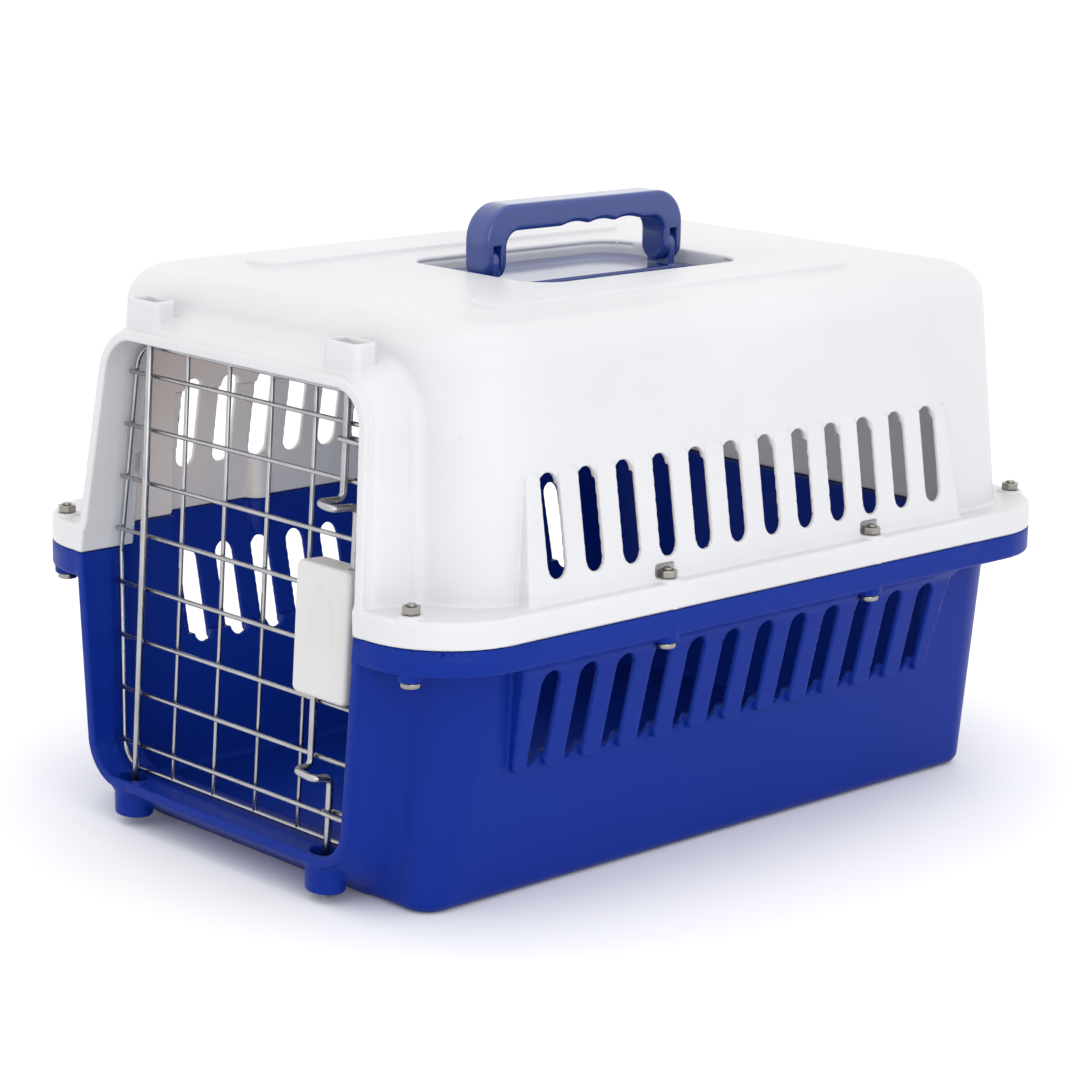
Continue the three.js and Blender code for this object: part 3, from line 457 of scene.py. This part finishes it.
def housing_field(x, y, z):
    body = rounded(housing_outline(x, z), HOUSING["front"] - y, 2.4)
    for middle in CLIPS["middles"]:
        body = joined(body, clip_field(x, y, z, middle), 0.6)
    body = rounded(body, y - HOUSING["back"], 0.4)
    left, right = HOUSING["x"]
    low, high = HOUSING["z"]
    across = (x - (left + right) / 2) / DIMPLE["half"]
    inward = (y - HOUSING["front"]) / DIMPLE["depth"]
    bowl = np.sqrt(across ** 2 + inward ** 2 + ((z - (low + high) / 2) / DIMPLE["reach"]) ** 2)
    shape = cut(body, (bowl - 1) * DIMPLE["depth"], EDGE)
    room = np.maximum(housing_outline(x, z, HOUSING["wall"]), HOUSING["front"] + HOUSING["face"] - y)
    shape = np.maximum(shape, -np.maximum(room, -between(z, *HOUSING["shelf"])))
    for place, bottom, top in HOUSING_RODS:
        hole = np.hypot(x - place, y) - HOUSING["rod_hole"]
        shape = cut(shape, np.maximum(hole, between(z, bottom, top)), 0.5)
    return shape


def cover_field(x, y, z):
    front = HOUSING["back"] + HOUSING["cover_gap"]
    return rounded(housing_outline(x, z), between(y, front, HOUSING["cover"]), 0.7)


SCREW_LOW, SCREW_HIGH = box_mm("screw_1")
NUT_LOW, NUT_HIGH = box_mm("nut_1")
NUT_FLATS = (NUT_HIGH[1] - NUT_LOW[1]) * math.cos(math.pi / 6)
NUT = {"edge": 0.35, "cone": 1.9, "start": 0.25, "even": 0.47, "bore": 2.75, "lead_in": 0.6,
       "turn": 30, "turn_step": 17}
SCREW = {"head_half": 1.8, "edge": 1.3, "shank": 2.5, "pitch": 0.8, "thread": 0.22,
         "cross": (2.3, 0.45), "cross_top": 1.5}


def nut_field(x, y, z):
    """A hexagon nut with chamfered corners and a bore that opens towards its ends."""
    hexagon = np.maximum(np.abs(x), np.abs(x) / 2 + np.abs(y) * math.sqrt(3) / 2) - NUT_FLATS / 2
    middle = (NUT_LOW[2] + NUT_HIGH[2]) / 2
    half = (NUT_HIGH[2] - NUT_LOW[2]) / 2
    rise = np.abs(z - middle)
    shape = rounded(hexagon, rise - half, NUT["edge"])
    reach = np.hypot(x, y)
    cone = reach + rise * NUT["cone"] - NUT_FLATS / 2 - half * NUT["cone"] - NUT["start"]
    shape = rounded(shape, cone * NUT["even"], 0.15)
    bore = reach - NUT["bore"] - 0.45 * np.clip(rise - half + NUT["lead_in"], 0, NUT["lead_in"])
    return np.maximum(shape, -bore)


def screw_body_field(x, y, z):
    """A pan head with a cross recess, a threaded shank and a blunt tip."""
    reach = np.hypot(x, y)
    low, high = SCREW_LOW[2], SCREW_HIGH[2]
    rise = np.abs(z - low - SCREW["head_half"]) - SCREW["head_half"]
    head = rounded(reach - SCREW_HIGH[0] + SCREW_SPOTS[0][0], rise, SCREW["edge"])
    turn = np.arctan2(y, x)
    thread = SCREW["thread"] * np.abs(np.mod(z / SCREW["pitch"] - turn / (2 * math.pi), 1) - 0.5) * 2
    shank = rounded(reach - SCREW["shank"] + thread, between(z, low + 2, high), 0.4)
    long, short = SCREW["cross"]
    arms = np.minimum(slab(x, y, long, short, 0.2), slab(x, y, short, long, 0.2))
    cross = np.maximum(arms, z - low - SCREW["cross_top"])
    return np.maximum(joined(head, shank, 0.2), -cross)


# ---- meshes from fields ----------------------------------------------------------------------

BLOCK = 4
# In voxels: the depth of field kept at a surface, the room round a piece, and a block's reach
BAND = 3
MARGIN = 2.5
BLOCK_REACH = BLOCK * 0.9


def sample_field(field, low, shape, voxel):
    """Samples a field on a grid, filling in only the blocks that its surface may pass through."""
    blocks = [math.ceil(n / BLOCK) for n in shape]
    far = BAND * voxel
    centres = [low[i] + voxel * (BLOCK * np.arange(blocks[i]) + (BLOCK - 1) / 2) for i in range(3)]
    coarse = field(centres[0][:, None, None], centres[1][None, :, None], centres[2][None, None, :])
    values = np.repeat(np.sign(coarse)[..., None], BLOCK ** 3, axis=-1).astype(np.float32) * far
    values = values.reshape(*blocks, BLOCK, BLOCK, BLOCK)
    near = np.argwhere(np.abs(coarse) < voxel * (BLOCK_REACH + MARGIN))
    step = np.arange(BLOCK) * voxel
    for part in np.array_split(near, max(1, len(near) // 20000)):
        corner = low + part * BLOCK * voxel
        x = corner[:, 0, None, None, None] + step[None, :, None, None]
        y = corner[:, 1, None, None, None] + step[None, None, :, None]
        z = corner[:, 2, None, None, None] + step[None, None, None, :]
        values[tuple(part.T)] = np.clip(field(x, y, z), -far, far)
    return values.transpose(0, 3, 1, 4, 2, 5).reshape([n * BLOCK for n in blocks])


def slope_of(field, points, reach):
    x, y, z = points.T
    slope = np.stack([
        field(x + reach, y, z) - field(x - reach, y, z),
        field(x, y + reach, z) - field(x, y - reach, z),
        field(x, y, z + reach) - field(x, y, z - reach),
    ], axis=1)
    return slope / np.maximum(np.linalg.norm(slope, axis=1, keepdims=True), 1e-9)


def moulded(name, field, low, high, voxel, adaptivity=0.02, placed=None):
    """A smooth mesh of a field's surface, with the field's own normals, then put in its place."""
    low = np.array(low, dtype=float) - MARGIN * voxel
    shape = np.ceil((np.array(high) + MARGIN * voxel - low) / voxel).astype(int)
    values = sample_field(field, low, shape, voxel)
    grid = openvdb.FloatGrid(BAND * voxel)
    grid.copyFromArray(np.ascontiguousarray(values))
    grid.gridClass = openvdb.GridClass.LEVEL_SET
    points, triangles, quads = grid.convertToPolygons(isovalue=0.0, adaptivity=adaptivity)
    points = low + points.astype(float) * voxel
    for _ in range(2):
        points -= slope_of(field, points, 0.15) * np.clip(field(*points.T), -voxel, voxel)[:, None]
    normals = slope_of(field, points, 0.3)
    faces = [face[::-1] for face in triangles.tolist()] + [face[::-1] for face in quads.tolist()]
    if placed is not None:
        points = points @ np.array(placed.to_3x3()).T + np.array(placed.translation)
        normals = normals @ np.array(placed.to_3x3()).T
    return mesh_object(name, points, faces, normals)


def mesh_object(name, points, faces, normals=None):
    mesh = bpy.data.meshes.new(name)
    mesh.from_pydata((np.asarray(points) * MM).tolist(), [], faces)
    mesh.shade_smooth()
    if normals is not None:
        mesh.normals_split_custom_set_from_vertices(np.asarray(normals).tolist())
    piece = bpy.data.objects.new(name, mesh)
    bpy.context.scene.collection.objects.link(piece)
    return piece


# ---- wires -----------------------------------------------------------------------------------

def bent_path(corners, bend, spacing=1.2):
    """Points along a wire that turns at each corner with a round bend."""
    corners = [Vector(corner) for corner in corners]
    path = [corners[0]]
    for before, corner, after in zip(corners, corners[1:], corners[2:]):
        arrive = (before - corner).normalized()
        leave = (after - corner).normalized()
        half = arrive.angle(leave) / 2
        radius = min(bend, 0.48 * min((before - corner).length, (after - corner).length) * math.tan(half))
        centre = corner + (arrive + leave).normalized() * (radius / math.sin(half))
        start = corner + arrive * (radius / math.tan(half)) - centre
        turn = math.pi - 2 * half
        axis = start.cross(corner + leave * (radius / math.tan(half)) - centre).normalized()
        steps = max(4, math.ceil(radius * turn / spacing * 2))
        path += [centre + Matrix.Rotation(turn * k / steps, 3, axis) @ start for k in range(steps + 1)]
    path.append(corners[-1])
    return path


def wire(name, path, radius, sides=14, placed=DOOR, blunt=0.35):
    """A round wire along a path, with its ends slightly rounded over."""
    points = np.array([placed @ point for point in map(Vector, path)])
    ahead = np.gradient(points, axis=0)
    tangents = ahead / np.linalg.norm(ahead, axis=1, keepdims=True)
    side = np.cross(tangents[0], (0.31, 0.52, 0.79))
    side /= np.linalg.norm(side)
    rings = []
    turns = np.linspace(0, 2 * math.pi, sides, endpoint=False)
    for point, tangent in zip(points, tangents):
        side = side - tangent * side.dot(tangent)
        side /= np.linalg.norm(side)
        other = np.cross(tangent, side)
        spokes = np.outer(np.cos(turns), side) + np.outer(np.sin(turns), other)
        rings.append((point, tangent, spokes))
    ends = [(rings[0], -1), (rings[-1], 1)]
    bodies = [point + spokes * radius for point, _, spokes in rings]
    for (point, tangent, spokes), way in ends:
        cap = [point + tangent * way * blunt * radius * rise + spokes * radius * width
               for rise, width in ((0.5, 0.93), (0.87, 0.75), (1.0, 0.45))]
        bodies = cap[::-1] + bodies if way < 0 else bodies + cap
    tips = [rings[0][0] - rings[0][1] * blunt * radius, rings[-1][0] + rings[-1][1] * blunt * radius]
    return tube_object(name, np.array(bodies), tips, sides)


def tube_object(name, rings, tips, sides):
    count = len(rings)
    points = np.concatenate([rings.reshape(-1, 3), np.array(tips)])
    faces = []
    for i in range(count - 1):
        for j in range(sides):
            k = (j + 1) % sides
            faces.append((i * sides + j, i * sides + k, (i + 1) * sides + k, (i + 1) * sides + j))
    last = (count - 1) * sides
    for j in range(sides):
        k = (j + 1) % sides
        faces.append((k, j, count * sides))
        faces.append((last + j, last + k, count * sides + 1))
    return mesh_object(name, points, faces)


# ---- materials -------------------------------------------------------------------------------

class Material:
    """A node material built step by step around one Principled shader."""

    def __init__(self, name):
        self.material = bpy.data.materials.new(name)
        self.material.use_nodes = True
        self.tree = self.material.node_tree
        self.shader = self.tree.nodes["Principled BSDF"]
        self.coords = self.node("ShaderNodeTexCoord").outputs["Object"]

    def node(self, kind, inputs=None, **settings):
        node = self.tree.nodes.new(kind)
        for key, value in settings.items():
            setattr(node, key, value)
        for key, value in (inputs or {}).items():
            if isinstance(value, bpy.types.NodeSocket):
                self.tree.links.new(value, node.inputs[key])
            else:
                node.inputs[key].default_value = value
        return node

    def noise(self, scale, detail=3.0, roughness=0.55, stretch=(1, 1, 1)):
        mapping = self.node("ShaderNodeMapping", {"Vector": self.coords, "Scale": stretch})
        return self.node("ShaderNodeTexNoise", {
            "Vector": mapping.outputs[0], "Scale": scale, "Detail": detail, "Roughness": roughness,
        }).outputs["Fac"]

    def ramp(self, value, low, high, start=0.0, end=1.0):
        """Maps a value between two limits to a number between two others."""
        return self.node("ShaderNodeMapRange", {
            "Value": value, "From Min": low, "From Max": high, "To Min": start, "To Max": end,
        }).outputs["Result"]

    def mix(self, share, first, second):
        node = self.node("ShaderNodeMix", data_type="RGBA")
        for socket, value in zip((node.inputs[0], node.inputs[6], node.inputs[7]), (share, first, second)):
            if isinstance(value, bpy.types.NodeSocket):
                self.tree.links.new(value, socket)
            else:
                socket.default_value = value if isinstance(value, float) else (*value, 1)
        return node.outputs[2]

    def bump(self, layers):
        """Stacks (height, strength, distance in millimetres) into one normal."""
        normal = None
        for height, strength, distance in layers:
            inputs = {"Height": height, "Strength": strength, "Distance": distance * MM}
            if normal is not None:
                inputs["Normal"] = normal
            normal = self.node("ShaderNodeBump", inputs).outputs[0]
        self.tree.links.new(normal, self.shader.inputs["Normal"])

    def set(self, **values):
        for key, value in values.items():
            socket = self.shader.inputs[key.replace("_", " ")]
            if isinstance(value, bpy.types.NodeSocket):
                self.tree.links.new(value, socket)
            else:
                socket.default_value = value


def moulded_plastic(name, colour, highlight_colour, roughness, grain=0.05, gloss=0.5):
    """Injection-moulded plastic: faint flow clouds, a fine grain, and paler outer edges that are a painted
    highlight.
    """
    made = Material(name)
    clouds = made.noise(9, 4)
    edges = made.node("ShaderNodeNewGeometry").outputs["Pointiness"]
    # Painted highlight: convex edges, found by pointiness, are mixed towards a paler colour
    edge_highlight = made.ramp(edges, 0.53, 0.62)
    scuffs = made.ramp(made.noise(160, 6, 0.7, (1, 0.12, 1)), 0.62, 0.74)
    tone = made.mix(made.ramp(clouds, 0.3, 0.7), tuple(c * 0.94 for c in colour), colour)
    shade = made.mix(made.ramp(edge_highlight, 0, 1, 0, 0.35), tone, highlight_colour)
    made.set(
        Base_Color=shade,
        Roughness=made.ramp(scuffs, 0, 1, roughness, roughness + 0.12),
        Specular_IOR_Level=gloss,
    )
    fine = made.noise(1400, 2)
    broad = made.noise(22, 2)
    made.bump([(fine, grain, 0.12), (broad, 0.12, 0.5)])
    return made


def drawn_wire(name, colour, roughness):
    """Drawn and plated steel: fine streaks, soft tarnish and a satin shine."""
    made = Material(name)
    streaks = made.noise(900, 3, 0.6, (1, 1, 0.08))
    tarnish = made.ramp(made.noise(70, 5), 0.42, 0.7)
    tone = made.mix(tarnish, colour, tuple(c * 0.8 for c in colour))
    shine = made.ramp(streaks, 0.3, 0.7, roughness - 0.06, roughness + 0.1)
    made.set(Base_Color=tone, Metallic=1.0, Roughness=shine)
    made.bump([(streaks, 0.08, 0.1)])
    return made


def dress(piece, made, body, slot, *stands_for):
    """Gives a piece its material and its CAD body, and hides the CAD nodes it stands for."""
    piece.data.materials.clear()
    piece.data.materials.append(made.material)
    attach(piece, body)
    if stands_for:
        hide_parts(*stands_for)
    return piece


def repaint(nodes, made):
    for name in nodes:
        node = frame["nodes"][name]
        for index in range(len(node.data.materials)):
            node.data.materials[index] = made.material


# ---- the carrier -----------------------------------------------------------------------------

def voxel_of(group):
    quick, full = VOXELS[group]
    return full


def build_shells(white, blue):
    voxel = voxel_of("shells")
    upper = moulded("moulded_upper_shell", upper_shell_field, SHELL_LOW, SHELL_HIGH + (0, 0, 4), voxel)
    dress(upper, white, "shell", "shell_white", "upper_shell")
    lower = moulded("moulded_lower_tub", lower_tub_field, TUB_LOW, TUB_HIGH, voxel)
    dress(lower, blue, "shell", "tub_blue", "lower_tub")


def build_handle(glossy):
    voxel = voxel_of("handle")
    grip = moulded("soft_edged_handle", handle_field, GRIP_LOW, GRIP_HIGH, voxel)
    dress(grip, glossy, "handle", "handle_blue", "carry_handle")
    base = moulded("handle_seat", base_field, BASE_LOW, BASE_HIGH + (0, 0, 2), voxel)
    dress(base, glossy, "shell", "handle_blue", "handle_base")


def build_fasteners(zinc):
    voxel = voxel_of("fasteners")
    for i, (x, y) in enumerate(SCREW_SPOTS, start=1):
        place = Matrix.Translation((x, y, 0))
        turned = place @ Matrix.Rotation(math.radians(NUT["turn"] + NUT["turn_step"] * i), 4, "Z")
        reach = NUT_FLATS
        nut = moulded(f"hex_nut_{i}", nut_field, (-reach, -reach, NUT_LOW[2]),
                      (reach, reach, NUT_HIGH[2]), voxel, 0.05, turned)
        dress(nut, zinc, "shell", "zinc_steel", f"nut_{i}")
        reach = (SCREW_HIGH[0] - SCREW_LOW[0]) / 2
        screw = moulded(f"pan_screw_{i}", screw_body_field, (-reach, -reach, SCREW_LOW[2]),
                        (reach, reach, SCREW_HIGH[2]), voxel, 0.05, place)
        dress(screw, zinc, "shell", "zinc_steel", f"screw_{i}")


def build_grid(steel):
    """The outer wire bows with the mouth; the uprights lie in its plane, the crossbars in front of it."""
    low, high, y = (PERIMETER[key] for key in ("low", "high", "y"))
    foot, waist, head = (mouth_half(z) - PERIMETER["clear"] for z in (low, SEAM, high))
    loop = [(-waist, y, SEAM - 1), (-waist, y, SEAM + 1), (-head, y, high), (head, y, high),
            (waist, y, SEAM), (foot, y, low), (-foot, y, low), (-waist, y, SEAM - 1.02)]
    path = bent_path(loop, PERIMETER["corner"])
    dress(wire("perimeter_wire", path, WIRE), steel, "door", "steel_wire", "door_perimeter")
    for i, x in enumerate(UPRIGHTS, start=1):
        path = bent_path([(x, y, low + 0.5), (x + 0.02, y, SEAM), (x, y, high - 0.5)], *SLIGHT)
        upright = wire(f"grid_upright_{i}", path, WIRE)
        dress(upright, steel, "door", "steel_wire", f"door_upright_{i}")
    y = CROSSBARS["y"]
    for i in range(CROSSBARS["count"]):
        z = CROSSBARS["low"] + i * CROSSBARS["pitch"]
        reach = mouth_half(z) - CROSSBARS["clear"]
        behind_latch = HOUSING["z"][0] < z < HOUSING["z"][1]
        right = HOUSING["x"][0] - 0.6 if behind_latch else reach
        path = bent_path([(-reach, y, z), (0, y, z + 0.02), (right, y, z)], *SLIGHT)
        crossbar = wire(f"grid_crossbar_{i + 1}", path, WIRE)
        dress(crossbar, steel, "door", "steel_wire", f"door_crossbar_{i + 1}")


def latch_path(parts):
    """A straight bolt, a finger loop that stands forward, a shank into the housing and a spring arm."""
    tip, loop, reach, inner, arm = (parts[key] for key in ("tip", "loop", "reach", "inner", "arm"))
    way = LOOP["slope"] if tip > loop else -LOOP["slope"]
    corners = [(ROD_X, 0, tip), (ROD_X, 0, loop + way), (ROD_X, -reach, loop + way),
               (inner, -reach, loop - way), (inner, 0, loop - way), (inner, 0, arm), (SPRING["x"], 0, arm)]
    return bent_path(corners, LOOP["bend"])


def build_latch(steel, plastic):
    voxel = voxel_of("latch")
    (left, right), (low, high) = HOUSING["x"], HOUSING["z"]
    housing = moulded("latch_block", housing_field, (left, HOUSING["front"], low),
                      (right + CLIPS["reach"], HOUSING["back"], high), voxel, placed=DOOR)
    dress(housing, plastic, "door", "latch_plastic", "latch_housing")
    cover = moulded("latch_back_plate", cover_field, (left, HOUSING["back"], low),
                    (right, HOUSING["cover"], high), voxel, 0.05, DOOR)
    dress(cover, plastic, "door", "latch_plastic", "latch_cover")
    low, middle, high = (HINGE[key] for key in ("low", "middle", "high"))
    hinge = bent_path([(-ROD_X, 0, low), (-ROD_X + 0.02, 0, middle), (-ROD_X, 0, high)], *SLIGHT)
    dress(wire("hinge_pintle", hinge, ROD, 20), steel, "door", "steel_wire", "hinge_rod")
    for side, parts in (("upper", UPPER_LATCH), ("lower", LOWER_LATCH)):
        bolt = wire(f"{side}_bolt", latch_path(parts), ROD, 20)
        dress(bolt, steel, f"{side}_latch", "steel_wire", f"latch_rod_{side}")
        z = GUIDES[side]
        eye = wire(f"{side}_guide_eye", eye_path(z), WIRE)
        dress(eye, steel, "door", "steel_wire", f"latch_guide_{side}")
    under, over = HOUSING["shelf"]
    build_spring("upper", steel, over, UPPER_LATCH["arm"] - ROD)
    build_spring("lower", steel, LOWER_LATCH["arm"] + ROD, under)


def eye_path(z):
    """A loop of wire round the rod, tied back to the grid's outer wire on its right."""
    reach = ROD + WIRE + EYE["gap"]
    steps = np.linspace(0, 1, EYE["steps"])
    turns = math.pi / 2 + math.pi * steps
    arc = [(ROD_X + reach * math.cos(t), reach * math.sin(t), z) for t in turns]
    end = mouth_half(z) - PERIMETER["clear"] + EYE["past"]
    start = [(end, 4.2, z), (end - EYE["leg"], 4.0, z)]
    return start + arc + [(end - EYE["leg"], -reach, z - 0.3), (end - 1, -reach + EYE["tail"], z - 0.6)]


def build_spring(side, steel, low, high):
    steps = np.linspace(0, 1, SPRING["turns"] * SPRING["steps"] + 1)
    height = high - low - 2 * SPRING["wire"] - 2 * SPRING["gap"]
    path = [(SPRING["x"] + SPRING["radius"] * math.cos(t * SPRING["turns"] * 2 * math.pi),
             SPRING["radius"] * math.sin(t * SPRING["turns"] * 2 * math.pi),
             low + SPRING["wire"] + SPRING["gap"] + height * t) for t in steps]
    coil = wire(f"{side}_coil_spring", path, SPRING["wire"], 8)
    dress(coil, steel, "door", "steel_wire", f"latch_spring_{side}")
    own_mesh(coil)


# ---- camera and light, in metres and degrees ---------------------------------------------------

CAMERA = {"lens": 105.9, "sensor": 36, "far": 50, "place": (1.2866, -1.2269, 0.5556),
          "azimuth": 46.56, "elevation": 13.14, "roll": 1.12}
MIDDLE = (0, 0, 0.15)
LIGHTS = {
    "overhead": {"place": (0.3, -0.3, 2.4), "target": MIDDLE, "size": (1.8, 1.8), "power": 6},
    "beside_the_right": {"place": (2.3, -1.1, 0.8), "target": MIDDLE, "size": (1.8, 1.4), "power": 12,
                         "colour": (0.9, 0.94, 1)},
    "through_the_door": {"place": (0, -0.19, 0.17), "target": (-0.06, 0.1, 0.16), "size": (0.16, 0.18),
                         "power": 0.16, "colour": (1, 0.62, 0.3)},
    "into_the_tub": {"place": (0.04, -0.12, 0.14), "target": (-0.1, 0.03, 0.05), "size": (0.1, 0.1),
                     "power": 0.14, "colour": (0.4, 0.75, 1)},
}
WORLD_STRENGTH = 1.2
FLOOR = {"reach": 14, "gap": 0.0005}


def build_camera():
    camera = bpy.data.cameras.new("camera")
    camera.lens = CAMERA["lens"]
    camera.sensor_width = CAMERA["sensor"]
    camera.clip_end = CAMERA["far"]
    rig = bpy.data.objects.new("camera", camera)
    bpy.context.scene.collection.objects.link(rig)
    azimuth, elevation, roll = (math.radians(CAMERA[key]) for key in ("azimuth", "elevation", "roll"))
    turn = Matrix.Rotation(azimuth, 4, "Z") @ Matrix.Rotation(math.pi / 2 - elevation, 4, "X")
    rig.matrix_world = Matrix.Translation(CAMERA["place"]) @ turn @ Matrix.Rotation(roll, 4, "Z")
    bpy.context.scene.camera = rig


def area_light(name, place, target, size, power, colour=(1, 1, 1)):
    light = bpy.data.lights.new(name, "AREA")
    light.shape = "RECTANGLE"
    light.size, light.size_y = size
    light.energy = power
    light.color = colour
    rig = bpy.data.objects.new(name, light)
    rig.location = place
    rig.rotation_euler = (Vector(target) - Vector(place)).to_track_quat("-Z", "Y").to_euler()
    bpy.context.scene.collection.objects.link(rig)


def build_stage():
    reach = FLOOR["reach"]
    corners = np.array([(-reach, -reach, 0), (reach, -reach, 0), (reach, reach, 0), (-reach, reach, 0)])
    floor = mesh_object("floor", corners / MM, [(0, 1, 2, 3)])
    floor.location.z = cad_bounds[0][2] - FLOOR["gap"]
    made = Material("studio_floor")
    clouds = made.ramp(made.noise(3), 0.3, 0.7)
    made.set(Base_Color=made.mix(clouds, (0.93, 0.93, 0.94), (0.95, 0.95, 0.955)), Roughness=0.9)
    floor.data.materials.append(made.material)
    world = bpy.data.worlds.new("studio")
    world.use_nodes = True
    background = world.node_tree.nodes["Background"]
    background.inputs["Color"].default_value = (1, 1, 1, 1)
    background.inputs["Strength"].default_value = WORLD_STRENGTH
    bpy.context.scene.world = world
    for name, light in LIGHTS.items():
        area_light(name, **light)
    bpy.context.scene.view_settings.view_transform = "Standard"


build_camera()
build_stage()
# The second colour of each moulded plastic is the paler tone of its painted edge highlight
white = moulded_plastic("white_polypropylene", (0.64, 0.64, 0.655), (0.7, 0.7, 0.71), 0.4)
blue = moulded_plastic("blue_polypropylene", (0.003, 0.022, 0.235), (0.012, 0.05, 0.3), 0.38, gloss=0.1)
glossy_blue = moulded_plastic("glossy_blue_plastic", (0.008, 0.034, 0.21), (0.03, 0.07, 0.3), 0.2, 0.02)
glossy_blue.set(Coat_Weight=0.6, Coat_Roughness=0.08)
latch_white = moulded_plastic("latch_plastic", (0.62, 0.61, 0.60), (0.72, 0.71, 0.7), 0.34)
steel = drawn_wire("plated_wire", (0.44, 0.44, 0.455), 0.22)
zinc = drawn_wire("zinc_plate", (0.33, 0.315, 0.28), 0.2)
build_shells(white, blue)
build_handle(glossy_blue)
build_fasteners(zinc)
build_grid(steel)
build_latch(steel, latch_white)
repaint(["handle_pin_front", "handle_pin_rear"], zinc)
